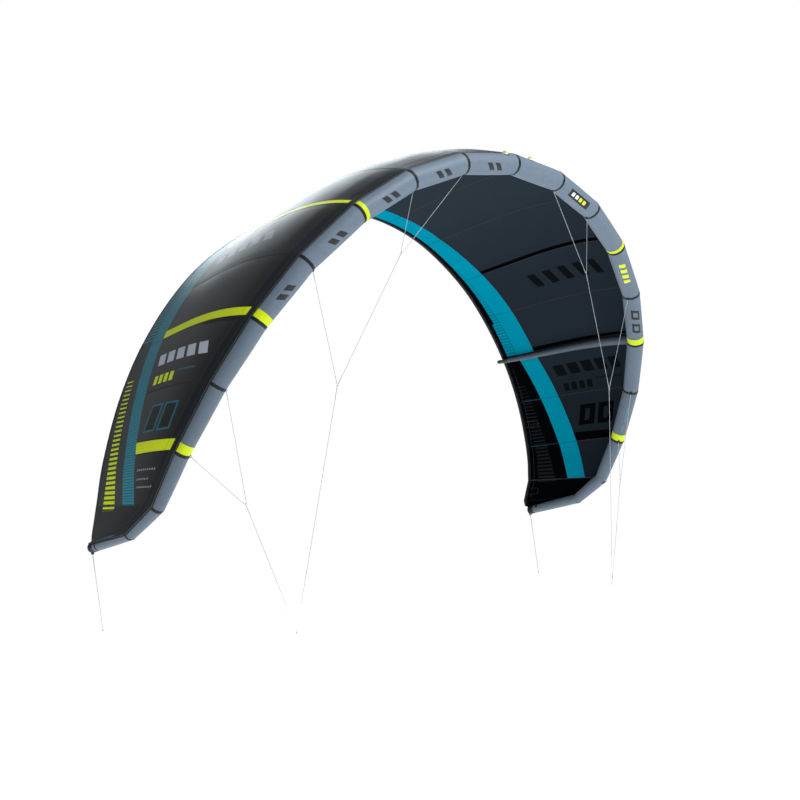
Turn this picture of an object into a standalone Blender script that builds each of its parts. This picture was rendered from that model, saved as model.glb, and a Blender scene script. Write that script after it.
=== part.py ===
"""Inflatable kitesurf kite of the nine square metre class, in its flying shape.

Frame: metres, +Z up, -Y is the flying direction (the leading edge), +Y runs
towards the trailing edge. The origin is the centre of the leading edge tube on
the plane of symmetry. The kite's right half is at -X and its left half at +X.

The wing is an arc of eleven stations on each side. Station 0 is the centre,
station 10 is the wing tip. The leading edge tube is sewn across each station.
"""
import math

import bmesh
import bpy
from mathutils import Matrix, Vector

# Stations along one half. The wing's outer end is straight from STRAIGHT_FROM on.
LAST_STATION = 10
STRAIGHT_FROM = 8
SECTION_STATIONS = ((0, 3), (3, 5), (5, 7), (7, LAST_STATION))
SECTION_NAMES = ("centre", "inner", "outer", "tip")

# Leading edge: an elliptic arc that sweeps back towards the tips.
ARC_HALF_WIDTH = 2.148
ARC_HEIGHT = 2.146
SWEEP = 0.663
SWEEP_GROWTH = 0.5035
SEAM_ANGLES = (0.0, 12.55, 24.6, 36.3, 48.0, 59.0, 69.2, 79.3, 87.4)
KNEE = Vector((-2.162, 1.357, -2.197))
TIP = Vector((-2.124, 1.838, -2.269))

# Trailing edge: its own, slightly narrower arc that ends at the tips.
REAR_HALF_WIDTH = 1.986
REAR_HEIGHT = 1.976
REAR_FLARE = 0.0545
CENTRE_CHORD = 1.5945
REAR_SHIFT = (0.357, -0.408, 0.2575)
REAR_ANGLES = (0.0, 12.0, 24.6, 38.5, 49.7, 61.4, 72.2, 83.2, 91.2, 96.1, 98.8)

# Leading edge tube.
TUBE_RADIUS_CENTRE = 0.068
TUBE_RADIUS_TIP = 0.030
TUBE_TAPER = 2.5
TUBE_SIDES = 14
SLEEVE_WALL = 0.0015
BLADDER_WALL = 0.0010
BLADDER_CLEARANCE = 0.0020
TIP_CAP_ANGLES = (35.0, 65.0, 84.0)

# Canopy.
CAMBER = 0.045
CAMBER_GROWTH = 0.015
FULLNESS = 0.035
CANOPY_THICKNESS = 0.0016
CANOPY_LIFT = 0.0012
CANOPY_FRONT = 0.006
CHORD_STEPS = (0.0, 0.04, 0.10, 0.19, 0.30, 0.43, 0.57, 0.71, 0.85, 1.0)
HEM_DEPTH = 0.014
HEM_THICKNESS = 0.0030

# Struts.
STRUT_STATIONS = (("centre", 0, -1), ("right", 5, -1), ("left", 5, 1))
STRUT_RADIUS_FRONT = 0.034
STRUT_RADIUS_REAR = 0.017
STRUT_SIDES = 12
STRUT_GAP = 0.0040
STRUT_START = 0.020
STRUT_END = 0.055
STRUT_CAP_OVERHANG = 0.036
STRUT_STEPS = 10
STRUT_BLADDER_START = 0.004
STRUT_BLADDER_END = 0.010
STRUT_CAP_STEPS = ((0.014, 0.86), (0.005, 0.66), (0.0, 0.32))

# Bridle. Points on the right half; the left half is their mirror image.
LINE_DIAMETER = 0.003
PIGTAIL_DIAMETER = 0.0035
TIP_FORK = Vector((-1.828, 0.674, -2.070))
CROWN_FORK = Vector((-0.915, 0.161, -0.619))
MAIN_FORK = Vector((-1.340, 0.355, -1.415))
FRONT_LINE_END = Vector((-1.547, 0.624, -2.832))
REAR_LINE_END = Vector((-2.112, 1.785, -2.770))
TIP_YOKE_STATIONS = (7, 6)
CROWN_YOKE_STATIONS = (2, 1)
MIDDLE_LEG_STATION = 4
YOKE_BEND = 0.009
YOKE_ARM_POINTS = 6
YOKE_BEND_POINTS = 8
RING_RADIUS = 0.006
RING_WIRE = 0.0015
RING_TURNS = 14
RING_SIDES = 8
KNOT_RADIUS = 0.005
END_KNOT_RADIUS = 0.0055
END_KNOT_LENGTH = 0.015
END_KNOT_SIDES = 12
END_KNOT_NECK = 0.55
END_KNOT_STEPS = ((0.2, 1.0), (0.87, 1.0), (1.0, 0.82))
OPEN_PIVOT_GAP = 0.009
SLEEVE_STANDOFF = 0.0030
RING_PLAY = 0.0010
TIP_LOOP_SIZE = 0.010
TIP_LOOP_SETBACK = 0.006
PIGTAIL_DROP = 0.004

# Valves on the upper side of the leading edge tube.
VALVES = (("inflation", -0.085, 0.021), ("deflation", 0.150, 0.018))
VALVE_TILT = 64.0
VALVE_NECK = 0.012
VALVE_LID = 0.006
VALVE_MOUTH = 0.0060
VALVE_SIDES = 20
VALVE_STEPS = ((0.0, 1.0), (0.0025, 1.0), (0.0045, 0.72), (VALVE_NECK, 0.66))
VALVE_MOUTH_DEPTH = 0.009
VALVE_LID_STEPS = ((0.0, 0.70), (0.7, 0.70), (1.0, 0.58))
VALVE_HINGE = 0.80

TIP_EDGE = Vector((0.0, 0.004, 0.030))
GAP = 0.0003


def clear_scene():
    """Removes whatever the open scene holds."""
    for obj in list(bpy.data.objects):
        bpy.data.objects.remove(obj, do_unlink=True)


def make_material(name, colour, roughness, metallic=0.0):
    """Returns a Principled material of one colour."""
    material = bpy.data.materials.new(name)
    material.use_nodes = True
    shader = material.node_tree.nodes["Principled BSDF"]
    shader.inputs["Base Color"].default_value = (*colour, 1.0)
    shader.inputs["Roughness"].default_value = roughness
    shader.inputs["Metallic"].default_value = metallic
    return material


def make_materials():
    """Returns the kite's materials by name."""
    return {
        "dacron": make_material("dacron", (0.25, 0.31, 0.38), 0.60),
        "bladder": make_material("bladder", (0.75, 0.78, 0.80), 0.35),
        "ripstop": make_material("ripstop", (0.028, 0.034, 0.042), 0.45),
        "hem": make_material("hem", (0.010, 0.011, 0.013), 0.60),
        "moulding": make_material("moulding", (0.020, 0.020, 0.022), 0.50),
        "valve": make_material("valve", (0.70, 0.72, 0.72), 0.40),
        "lid": make_material("lid", (0.62, 0.75, 0.02), 0.40),
        "line": make_material("line", (0.36, 0.40, 0.44), 0.70),
        "webbing": make_material("webbing", (0.016, 0.016, 0.018), 0.75),
    }


def add_mesh(name, points, faces, material, smooth_angle=40.0):
    """Adds one closed mesh object whose faces point outwards."""
    mesh = bpy.data.meshes.new(name)
    mesh.from_pydata([tuple(p) for p in points], [], faces)
    shell = bmesh.new()
    shell.from_mesh(mesh)
    bmesh.ops.remove_doubles(shell, verts=shell.verts, dist=1e-6)
    bmesh.ops.recalc_face_normals(shell, faces=shell.faces)
    shell.to_mesh(mesh)
    shell.free()
    mesh.shade_smooth()
    mesh.set_sharp_from_angle(angle=math.radians(smooth_angle))
    mesh.materials.append(material)
    obj = bpy.data.objects.new(name, mesh)
    bpy.context.scene.collection.objects.link(obj)
    return obj


def mirrored(point, side):
    """Moves a point of the right half to the side with sign side."""
    return Vector((-side * point.x, point.y, point.z))


def front_point(station):
    """Leading edge tube centre at a station of the right half."""
    if station >= len(SEAM_ANGLES):
        return (KNEE if station == LAST_STATION - 1 else TIP).copy()
    angle = math.radians(SEAM_ANGLES[station])
    drop = 1.0 - math.cos(angle)
    return Vector((
        -ARC_HALF_WIDTH * math.sin(angle),
        SWEEP * drop + SWEEP_GROWTH * drop ** 2,
        -ARC_HEIGHT * drop,
    ))


def rear_point(station):
    """Trailing edge at a station of the right half."""
    angle = math.radians(REAR_ANGLES[station])
    drop = 1.0 - math.cos(angle)
    flare = 1.0 + REAR_FLARE * drop ** 2
    shift = sum(k * drop ** (n + 1) for n, k in enumerate(REAR_SHIFT))
    return Vector((
        -REAR_HALF_WIDTH * flare * math.sin(angle),
        CENTRE_CHORD + shift,
        -REAR_HEIGHT * drop,
    ))


def tube_radius(station):
    """Outer radius of the leading edge tube at a station."""
    fall = (station / LAST_STATION) ** TUBE_TAPER
    return TUBE_RADIUS_CENTRE + (TUBE_RADIUS_TIP - TUBE_RADIUS_CENTRE) * fall


def station_frame(station):
    """Returns front point, chord length, chord direction and outward normal."""
    front = front_point(station)
    chord = rear_point(station) - front
    length = chord.length
    along = chord / length
    if station == 0:
        return front, length, along, Vector((0.0, 0.0, 1.0))
    span_station = min(station, STRAIGHT_FROM)
    span = front_point(span_station + 1) - front_point(span_station - 1)
    return front, length, along, along.cross(span).normalized()


def profile_point(station, part):
    """Point of the canopy's middle surface at a part of the chord, 0 to 1."""
    front, length, along, normal = station_frame(station)
    inboard = 1.0 - station / LAST_STATION
    camber = CAMBER + CAMBER_GROWTH * inboard
    fullness = FULLNESS * inboard ** 1.5
    lift = CANOPY_LIFT + CANOPY_THICKNESS / 2.0
    fall = (1.0 - part) ** 3 if station <= STRAIGHT_FROM else 1.0 - part ** 2
    height = (tube_radius(station) + lift) * fall
    height += length * camber * 6.75 * part * (1.0 - part) ** 2
    height += length * fullness * 4.0 * part * (1.0 - part)
    return front + along * (part * length) + normal * height


def profile_normal(station, part):
    """Outward normal of the canopy profile at a part of the chord."""
    step = 0.002
    tangent = profile_point(station, part + step) - profile_point(station, part - step)
    normal = station_frame(station)[3]
    tangent.normalize()
    return (normal - tangent * normal.dot(tangent)).normalized()


def between(first, last, part):
    """Point at a part of the way from first to last."""
    return first.lerp(last, part)


def shortened(points, start_gap, end_gap):
    """Pulls the first and last point of a path inwards by the given gaps."""
    path = [p.copy() for p in points]
    path[0] += (path[1] - path[0]).normalized() * start_gap
    path[-1] += (path[-2] - path[-1]).normalized() * end_gap
    return path


def rings_along(path, radii, sides, up, planes=None):
    """Returns one ring for each point of a path, square to it and without twist."""
    rings = []
    over = up
    for index, centre in enumerate(path):
        ahead = path[min(index + 1, len(path) - 1)]
        behind = path[max(index - 1, 0)]
        if planes:
            direction = planes[index]
        else:
            direction = ((ahead - centre).normalized() + (centre - behind).normalized()).normalized()
        over = (over - direction * over.dot(direction)).normalized()
        across = over.cross(direction)
        ring = []
        for turn in range(sides):
            angle = 2.0 * math.pi * (turn + 0.5) / sides
            ring.append(centre + (across * math.cos(angle) + over * math.sin(angle)) * radii[index])
        rings.append(ring)
    return rings


def skin(rings, sides, cap_start, cap_end):
    """Joins rings into a surface, with end faces where asked."""
    points = [p for ring in rings for p in ring]
    faces = []
    for row in range(len(rings) - 1):
        for turn in range(sides):
            following = (turn + 1) % sides
            faces.append((
                row * sides + turn, row * sides + following,
                (row + 1) * sides + following, (row + 1) * sides + turn,
            ))
    if cap_start:
        faces.append(tuple(range(sides)))
    if cap_end:
        last = (len(rings) - 1) * sides
        faces.append(tuple(last + turn for turn in range(sides)))
    return points, faces


def add_pipe(name, outer, inner, sides, material, closed_end=False):
    """Adds a thin tube from outer and inner rings, open or closed at its end."""
    path = outer + inner[::-1]
    points, faces = skin(path, sides, False, False)
    last = (len(path) - 1) * sides
    for turn in range(sides):
        following = (turn + 1) % sides
        faces.append((last + turn, last + following, following, turn))
    if closed_end:
        end = (len(outer) - 1) * sides
        faces = [f for f in faces if not (end <= f[0] < end + sides and f[2] >= end + sides)]
        faces.append(tuple(end + turn for turn in range(sides)))
        faces.append(tuple(end + sides + turn for turn in range(sides)))
    return add_mesh(name, points, faces, material)


def tube_direction(station):
    """Direction across a leading edge seam, half way between its two panels."""
    if station == 0:
        return Vector((-1.0, 0.0, 0.0))
    here = front_point(station)
    back = (here - front_point(station - 1)).normalized()
    if station == LAST_STATION:
        return back
    return (back + (front_point(station + 1) - here).normalized()).normalized()


def tube_path(first, last, inset):
    """Centres, radii and seam directions of the tube from station first to last."""
    stations = range(first, last + 1)
    centres = [front_point(s) for s in stations]
    radii = [tube_radius(s) - inset for s in stations]
    directions = [tube_direction(s) for s in stations]
    if last == LAST_STATION:
        radius, centre, direction = radii[-1], centres[-1], directions[-1]
        for degrees in TIP_CAP_ANGLES:
            turn = math.radians(degrees)
            centres.append(centre + direction * (radius * math.sin(turn)))
            radii.append(radius * math.cos(turn))
            directions.append(direction)
    return centres, radii, directions


def tube_rings(first, last, side, inset):
    """Rings of one tube section, pulled clear of the sections beside it."""
    centres, radii, directions = tube_path(first, last, inset)
    path = shortened(centres, GAP, 0.0 if last == LAST_STATION else GAP)
    up = station_frame(first)[3]
    rings = rings_along(path, radii, TUBE_SIDES, up, directions)
    return [[mirrored(p, side) for p in ring] for ring in rings]


def add_leading_edge(side, side_name, materials):
    """Adds the sewn leading edge sleeve of one half, in four sections."""
    for (first, last), section in zip(SECTION_STATIONS, SECTION_NAMES):
        outer = tube_rings(first, last, side, 0.0)
        inner = tube_rings(first, last, side, SLEEVE_WALL)
        add_pipe(f"{side_name}_leading_edge_{section}", outer, inner, TUBE_SIDES,
                 materials["dacron"], closed_end=last == LAST_STATION)


def add_leading_edge_bladder(materials):
    """Adds the air bladder of the leading edge, whose folded tails stay open."""
    shells = []
    for inset in (SLEEVE_WALL + BLADDER_CLEARANCE, SLEEVE_WALL + BLADDER_CLEARANCE + BLADDER_WALL):
        centres, radii, directions = tube_path(0, LAST_STATION - 1, inset)
        path = [mirrored(c, -1) for c in centres[:0:-1]] + [mirrored(c, 1) for c in centres]
        planes = [-mirrored(d, -1) for d in directions[:0:-1]] + [mirrored(d, 1) for d in directions]
        up = station_frame(LAST_STATION - 1)[3]
        shells.append(rings_along(path, radii[:0:-1] + radii, TUBE_SIDES, up, planes))
    add_pipe("leading_edge_bladder", shells[0], shells[1], TUBE_SIDES, materials["bladder"])


def tip_corner():
    """Start of the canopy's last short edge, on the outer side of the tube's end."""
    normal = station_frame(STRAIGHT_FROM)[3]
    lift = tube_radius(LAST_STATION) + CANOPY_LIFT + CANOPY_THICKNESS / 2.0
    return front_point(LAST_STATION) + normal * lift, normal


def canopy_column(station):
    """Points and normals across one canopy station, short of the hem."""
    if station == LAST_STATION:
        corner, normal = tip_corner()
        return [(corner + TIP_EDGE * part, normal) for part in CHORD_STEPS]
    first = CANOPY_FRONT
    last = 1.0 - (HEM_DEPTH + GAP) / station_frame(station)[1]
    parts = [first + (last - first) * part for part in CHORD_STEPS]
    return [(profile_point(station, part), profile_normal(station, part)) for part in parts]


def hem_column(station):
    """Points and normals across the hem at one station."""
    if station == LAST_STATION:
        corner, normal = tip_corner()
        start = corner + TIP_EDGE + Vector((0.0, GAP, 0.0))
        return [(start, normal), (start + Vector((0.0, HEM_DEPTH, 0.0)), normal)]
    first = 1.0 - HEM_DEPTH / station_frame(station)[1]
    return [(profile_point(station, part), profile_normal(station, part)) for part in (first, 1.0)]


def add_sheet(name, columns, thickness, material):
    """Adds a thin closed slab from columns of (point, normal) rows."""
    rows = len(columns[0])
    points = []
    for offset in (0.5 * thickness, -0.5 * thickness):
        for column in columns:
            points.extend(p + n * offset for p, n in column)
    count = len(columns) * rows
    faces = []
    for c in range(len(columns) - 1):
        for r in range(rows - 1):
            a = c * rows + r
            faces.append((a, a + 1, a + rows + 1, a + rows))
            faces.append((count + a, count + a + rows, count + a + rows + 1, count + a + 1))
    rim = list(range(rows))
    rim += [c * rows + rows - 1 for c in range(1, len(columns))]
    rim += [(len(columns) - 1) * rows + r for r in range(rows - 2, -1, -1)]
    rim += [c * rows for c in range(len(columns) - 2, 0, -1)]
    for a, b in zip(rim, rim[1:] + rim[:1]):
        faces.append((a, b, count + b, count + a))
    return add_mesh(name, points, faces, material, 30.0)


def blend_columns(first, last, part):
    """Column of rows at a part of the way between two columns."""
    return [(between(p, q, part), n.lerp(m, part).normalized()) for (p, n), (q, m) in zip(first, last)]


def side_columns(columns, side):
    """Moves columns of the right half to the given side."""
    return [[(mirrored(p, side), mirrored(n, side)) for p, n in column] for column in columns]


def trimmed_columns(columns, gap):
    """Pulls the first and last column inwards, which leaves a seam gap."""
    first_width = (columns[1][0][0] - columns[0][0][0]).length
    last_width = (columns[-2][0][0] - columns[-1][0][0]).length
    first = blend_columns(columns[0], columns[1], gap / first_width)
    last = blend_columns(columns[-1], columns[-2], gap / last_width)
    return [first] + columns[1:-1] + [last]


def add_canopy(side, side_name, materials):
    """Adds the canopy panels of one half and the hem along its rear edge."""
    for (first, last), section in zip(SECTION_STATIONS, SECTION_NAMES):
        columns = [canopy_column(s) for s in range(first, last + 1)]
        columns = side_columns(trimmed_columns(columns, GAP), side)
        add_sheet(f"{side_name}_canopy_{section}", columns, CANOPY_THICKNESS, materials["ripstop"])
    columns = [hem_column(s) for s in range(LAST_STATION + 1)]
    columns = side_columns(trimmed_columns(columns, GAP), side)
    add_sheet(f"{side_name}_trailing_edge_hem", columns, HEM_THICKNESS, materials["hem"])


def strut_radius(share):
    """Outer radius of a strut at a share of its length, 0 at the front."""
    return STRUT_RADIUS_FRONT + (STRUT_RADIUS_REAR - STRUT_RADIUS_FRONT) * share


def strut_centres(station, shares, distances):
    """Points along a strut's axis, which hangs under the canopy."""
    length = station_frame(station)[1]
    centres = []
    for share, distance in zip(shares, distances):
        part = distance / length
        radius = strut_radius(share)
        below = radius + STRUT_GAP + HEM_THICKNESS / 2.0
        centres.append(profile_point(station, part) - profile_normal(station, min(part, 0.97)) * below)
    return centres


def add_strut(strut_name, station, side, materials):
    """Adds a strut's sleeve, its bladder and the cap on its rear end."""
    length = station_frame(station)[1]
    start = tube_radius(station) + STRUT_START
    end = length - STRUT_END
    shares = [n / STRUT_STEPS for n in range(STRUT_STEPS + 1)]
    distances = [start + (end - start) * share for share in shares]
    path = strut_centres(station, shares, distances)
    radii = [strut_radius(share) for share in shares]
    up = station_frame(station)[3]
    inset = SLEEVE_WALL + BLADDER_CLEARANCE

    def rings(offset, points):
        made = rings_along(points, [r - offset for r in radii[:len(points)]], STRUT_SIDES, up)
        return [[mirrored(p, side) for p in ring] for ring in made]

    add_pipe(f"{strut_name}_strut_sleeve", rings(0.0, path), rings(SLEEVE_WALL, path),
             STRUT_SIDES, materials["dacron"])
    inside = shortened(path, STRUT_BLADDER_START, STRUT_BLADDER_END)
    core = shortened(inside, 0.0, BLADDER_WALL)
    add_pipe(f"{strut_name}_strut_bladder", rings(inset, inside), rings(inset + BLADDER_WALL, core),
             STRUT_SIDES, materials["bladder"], closed_end=True)

    direction = (path[-1] - path[-2]).normalized()
    reach = STRUT_END + STRUT_CAP_OVERHANG
    radius = strut_radius(1.0)
    steps = [(GAP, 1.0)] + [(reach - setback, share) for setback, share in STRUT_CAP_STEPS]
    cap_path = [path[-1] + direction * distance for distance, _ in steps]
    cap_radii = [radius * share for _, share in steps]
    planes = [direction] * len(steps)
    made = rings_along(cap_path, cap_radii, STRUT_SIDES, up, planes)
    made = [[mirrored(p, side) for p in ring] for ring in made]
    points, faces = skin(made, STRUT_SIDES, True, True)
    add_mesh(f"{strut_name}_strut_end_cap", points, faces, materials["moulding"])


def add_cord(name, path, diameter, side, material, parent=None):
    """Adds a thin round line along a path, with filled ends."""
    curve = bpy.data.curves.new(name, "CURVE")
    curve.dimensions = "3D"
    curve.bevel_depth = diameter / 2.0
    curve.bevel_resolution = 2
    curve.use_fill_caps = True
    spline = curve.splines.new("POLY")
    spline.points.add(len(path) - 1)
    for point, place in zip(spline.points, path):
        point.co = (*mirrored(place, side), 1.0)
    curve.materials.append(material)
    obj = bpy.data.objects.new(name, curve)
    bpy.context.scene.collection.objects.link(obj)
    attach(obj, parent)
    return obj


def attach(obj, parent):
    """Parents an object to a joint empty without moving it."""
    if parent is not None:
        obj.parent = parent
        obj.matrix_parent_inverse = Matrix.Translation(-parent.location)


def add_joint_empty(name, place):
    """Adds an empty on a joint's axis, which carries the joint's moving pieces."""
    empty = bpy.data.objects.new(name, None)
    empty.location = place
    empty.empty_display_size = 0.05
    bpy.context.scene.collection.objects.link(empty)
    return empty


def attachment(station, target):
    """Point on the sleeve's skin that faces a bridle fork."""
    centre = front_point(station)
    direction = target - centre
    along = tube_direction(station)
    direction -= along * direction.dot(along)
    return centre + direction.normalized() * tube_radius(station)


def straight(first, last, count):
    """Evenly spaced points from first to last."""
    return [between(first, last, n / (count - 1.0)) for n in range(count)]


def yoke_path(first, fork, last):
    """Route of a yoke line from one tab, round its fork and to the other tab."""
    apex = fork
    for _ in range(6):
        to_first = (first - apex).normalized()
        to_last = (last - apex).normalized()
        middle = (to_first + to_last).normalized()
        half = to_first.angle(to_last) / 2.0
        apex = fork - middle * (YOKE_BEND / math.sin(half) - YOKE_BEND)
    centre = fork + middle * YOKE_BEND
    tangent = YOKE_BEND / math.tan(half)
    from_point = apex + to_first * tangent
    to_point = apex + to_last * tangent
    arm_from = (from_point - centre).normalized()
    arm_to = (to_point - centre).normalized()
    turns = [n / YOKE_BEND_POINTS for n in range(1, YOKE_BEND_POINTS)]
    bend = [centre + arm_from.slerp(arm_to, turn) * YOKE_BEND for turn in turns]
    start = first - to_first * SLEEVE_STANDOFF
    end = last - to_last * SLEEVE_STANDOFF
    return straight(start, from_point, YOKE_ARM_POINTS) + bend + straight(to_point, end, YOKE_ARM_POINTS)


def add_ring(name, pivot, direction, normal, side, material, parent):
    """Adds the small loop that ties a line to the bend of a yoke, and returns its foot."""
    reach = RING_RADIUS - 2.0 * RING_WIRE - RING_PLAY
    centre = pivot + direction * reach
    across = direction.cross(normal).normalized()
    points, faces = [], []
    for a in range(RING_TURNS):
        angle = 2.0 * math.pi * a / RING_TURNS
        radial = direction * math.cos(angle) + across * math.sin(angle)
        here, ahead = a * RING_SIDES, ((a + 1) % RING_TURNS) * RING_SIDES
        for t in range(RING_SIDES):
            turn = 2.0 * math.pi * t / RING_SIDES
            offset = radial * (RING_RADIUS + RING_WIRE * math.cos(turn))
            points.append(mirrored(centre + offset + normal * (RING_WIRE * math.sin(turn)), side))
            following = (t + 1) % RING_SIDES
            faces.append((here + t, ahead + t, ahead + following, here + following))
    obj = add_mesh(name, points, faces, material)
    attach(obj, parent)
    return centre + direction * (RING_RADIUS + RING_WIRE)


def add_ball_knot(name, centre, side, material, parent):
    """Adds a round stopper knot."""
    shell = bmesh.new()
    bmesh.ops.create_uvsphere(shell, u_segments=10, v_segments=7, radius=KNOT_RADIUS)
    mesh = bpy.data.meshes.new(name)
    shell.to_mesh(mesh)
    shell.free()
    mesh.transform(Matrix.Translation(mirrored(centre, side)))
    mesh.shade_smooth()
    mesh.materials.append(material)
    obj = bpy.data.objects.new(name, mesh)
    bpy.context.scene.collection.objects.link(obj)
    attach(obj, parent)


def add_end_knot(name, start, direction, side, material, parent):
    """Adds the barrel knot that a flying line loops on, with a flat lower face."""
    steps = [(GAP, END_KNOT_RADIUS * END_KNOT_NECK)]
    steps += [(END_KNOT_LENGTH * part, END_KNOT_RADIUS * share) for part, share in END_KNOT_STEPS]
    path = [start + direction * distance for distance, _ in steps]
    radii = [radius for _, radius in steps]
    rings = rings_along(path, radii, END_KNOT_SIDES, Vector((0.0, 1.0, 0.0)), [direction] * len(steps))
    rings = [[mirrored(p, side) for p in ring] for ring in rings]
    points, faces = skin(rings, END_KNOT_SIDES, True, True)
    obj = add_mesh(name, points, faces, material)
    attach(obj, parent)


def add_bridle(side, side_name, materials):
    """Adds the front bridle of one half: two yokes, a leg, a link and two mains."""
    line = materials["line"]
    tip_first = attachment(TIP_YOKE_STATIONS[0], TIP_FORK)
    tip_last = attachment(TIP_YOKE_STATIONS[1], TIP_FORK)
    crown_first = attachment(CROWN_YOKE_STATIONS[0], CROWN_FORK)
    crown_last = attachment(CROWN_YOKE_STATIONS[1], CROWN_FORK)
    leg_top = attachment(MIDDLE_LEG_STATION, MAIN_FORK)

    planes = {}
    for label, first, fork, last in (
        ("tip", tip_first, TIP_FORK, tip_last),
        ("crown", crown_first, CROWN_FORK, crown_last),
    ):
        empty = add_joint_empty(f"{side_name}_{label}_yoke_pivot", mirrored(first, side))
        path = yoke_path(first, fork, last)
        add_cord(f"{side_name}_{label}_yoke", path, LINE_DIAMETER, side, line, empty)
        planes[label] = (first - fork).cross(last - fork).normalized()

    for label, pivot, below, target, stop in (
        ("tip", TIP_FORK, "lower_main", FRONT_LINE_END, OPEN_PIVOT_GAP),
        ("crown", CROWN_FORK, "crown_link", MAIN_FORK, KNOT_RADIUS + GAP),
    ):
        direction = (target - pivot).normalized()
        tangent = direction.cross(planes[label]).normalized()
        empty = add_joint_empty(f"{side_name}_{below}_pivot", mirrored(pivot, side))
        start = add_ring(f"{side_name}_{label}_yoke_loop", pivot, direction, tangent, side, line, empty)
        path = straight(start + direction * GAP, target - direction * stop, 9)
        add_cord(f"{side_name}_{below}_line", path, LINE_DIAMETER, side, line, empty)

    empty = add_joint_empty(f"{side_name}_middle_leg_pivot", mirrored(leg_top, side))
    direction = (MAIN_FORK - leg_top).normalized()
    path = straight(leg_top + direction * SLEEVE_STANDOFF, MAIN_FORK - direction * OPEN_PIVOT_GAP, 8)
    add_cord(f"{side_name}_middle_leg_line", path, LINE_DIAMETER, side, line, empty)

    empty = add_joint_empty(f"{side_name}_upper_main_pivot", mirrored(MAIN_FORK, side))
    add_ball_knot(f"{side_name}_main_fork_knot", MAIN_FORK, side, line, empty)
    direction = (FRONT_LINE_END - MAIN_FORK).normalized()
    path = straight(MAIN_FORK + direction * (KNOT_RADIUS + GAP), FRONT_LINE_END, 10)
    add_cord(f"{side_name}_upper_main_line", path, LINE_DIAMETER, side, line, empty)
    add_end_knot(f"{side_name}_front_line_knot", FRONT_LINE_END, direction, side, line, empty)


def add_rear_pigtail(side, side_name, materials):
    """Adds the webbing loop on the wing tip and the rear pigtail that hangs on it."""
    direction = tube_direction(LAST_STATION)
    down = Vector((0.0, 0.0, -1.0))
    anchor = front_point(LAST_STATION) - direction * TIP_LOOP_SETBACK
    anchor += down * (tube_radius(LAST_STATION) + TIP_LOOP_SIZE / 2.0 + RING_PLAY)
    loop = bmesh.new()
    mesh = bpy.data.meshes.new(f"{side_name}_tip_loop")
    bmesh.ops.create_cone(loop, segments=4, radius1=TIP_LOOP_SIZE, radius2=TIP_LOOP_SIZE,
                          depth=TIP_LOOP_SIZE, cap_ends=True)
    bmesh.ops.bevel(loop, geom=loop.edges[:], offset=TIP_LOOP_SIZE * 0.15, segments=1, affect="EDGES")
    loop.to_mesh(mesh)
    loop.free()
    mesh.transform(Matrix.Translation(mirrored(anchor, side)))
    mesh.materials.append(materials["webbing"])
    bpy.context.scene.collection.objects.link(bpy.data.objects.new(mesh.name, mesh))

    pivot = anchor + down * (TIP_LOOP_SIZE / 2.0 + PIGTAIL_DROP)
    empty = add_joint_empty(f"{side_name}_rear_pigtail_pivot", mirrored(pivot, side))
    line_direction = (REAR_LINE_END - pivot).normalized()
    path = straight(pivot, REAR_LINE_END, 8)
    add_cord(f"{side_name}_rear_pigtail_line", path, PIGTAIL_DIAMETER, side, materials["line"], empty)
    add_end_knot(f"{side_name}_rear_line_knot", REAR_LINE_END, line_direction, side,
                 materials["line"], empty)


def turned(name, place, axis, profile, sides, material):
    """Adds a turned piece from (distance along axis, radius) steps, hollow if it returns."""
    side_way = Vector((1.0, 0.0, 0.0))
    path = [place + axis * distance for distance, _ in profile]
    rings = rings_along(path, [r for _, r in profile], sides, side_way, [axis] * len(profile))
    points, faces = skin(rings, sides, True, True)
    return add_mesh(name, points, faces, material)


def add_valve(label, offset, radius, materials):
    """Adds a valve on the upper front of the leading edge tube, with its hinged lid."""
    side = 1 if offset > 0 else -1
    share = abs(offset) / abs(front_point(1).x)
    first, last = mirrored(front_point(0), side), mirrored(front_point(1), side)
    centre = between(first, last, share)
    span = (last - first).normalized()
    tilt = math.radians(VALVE_TILT)
    outward = Vector((0.0, -math.cos(tilt), math.sin(tilt)))
    outward = (outward - span * outward.dot(span)).normalized()
    tube = tube_radius(0) + (tube_radius(1) - tube_radius(0)) * share
    seat = centre + outward * (tube + GAP)
    profile = [(height, radius * share) for height, share in VALVE_STEPS]
    profile += [(VALVE_NECK, VALVE_MOUTH), (VALVE_NECK - VALVE_MOUTH_DEPTH, VALVE_MOUTH)]
    turned(f"{label}_valve_body", seat, outward, profile, VALVE_SIDES, materials["valve"])
    lid_seat = seat + outward * (VALVE_NECK + GAP)
    hinge = lid_seat - span * (side * radius * VALVE_HINGE) + outward * (VALVE_LID / 2.0)
    empty = add_joint_empty(f"{label}_valve_lid_pivot", hinge)
    lid_profile = [(VALVE_LID * part, radius * share) for part, share in VALVE_LID_STEPS]
    lid = turned(f"{label}_valve_lid", lid_seat, outward, lid_profile, VALVE_SIDES, materials["lid"])
    attach(lid, empty)


def build_kite():
    """Builds every sub-part of the kite."""
    clear_scene()
    materials = make_materials()
    for side, side_name in ((-1, "right"), (1, "left")):
        add_leading_edge(side, side_name, materials)
        add_canopy(side, side_name, materials)
        add_bridle(side, side_name, materials)
        add_rear_pigtail(side, side_name, materials)
    add_leading_edge_bladder(materials)
    for strut_name, station, side in STRUT_STATIONS:
        add_strut(strut_name, station, side, materials)
    for label, offset, radius in VALVES:
        add_valve(label, offset, radius, materials)


build_kite()
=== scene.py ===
import math

import bmesh
import bpy
import numpy as np
from mathutils import Matrix, Vector


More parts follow.
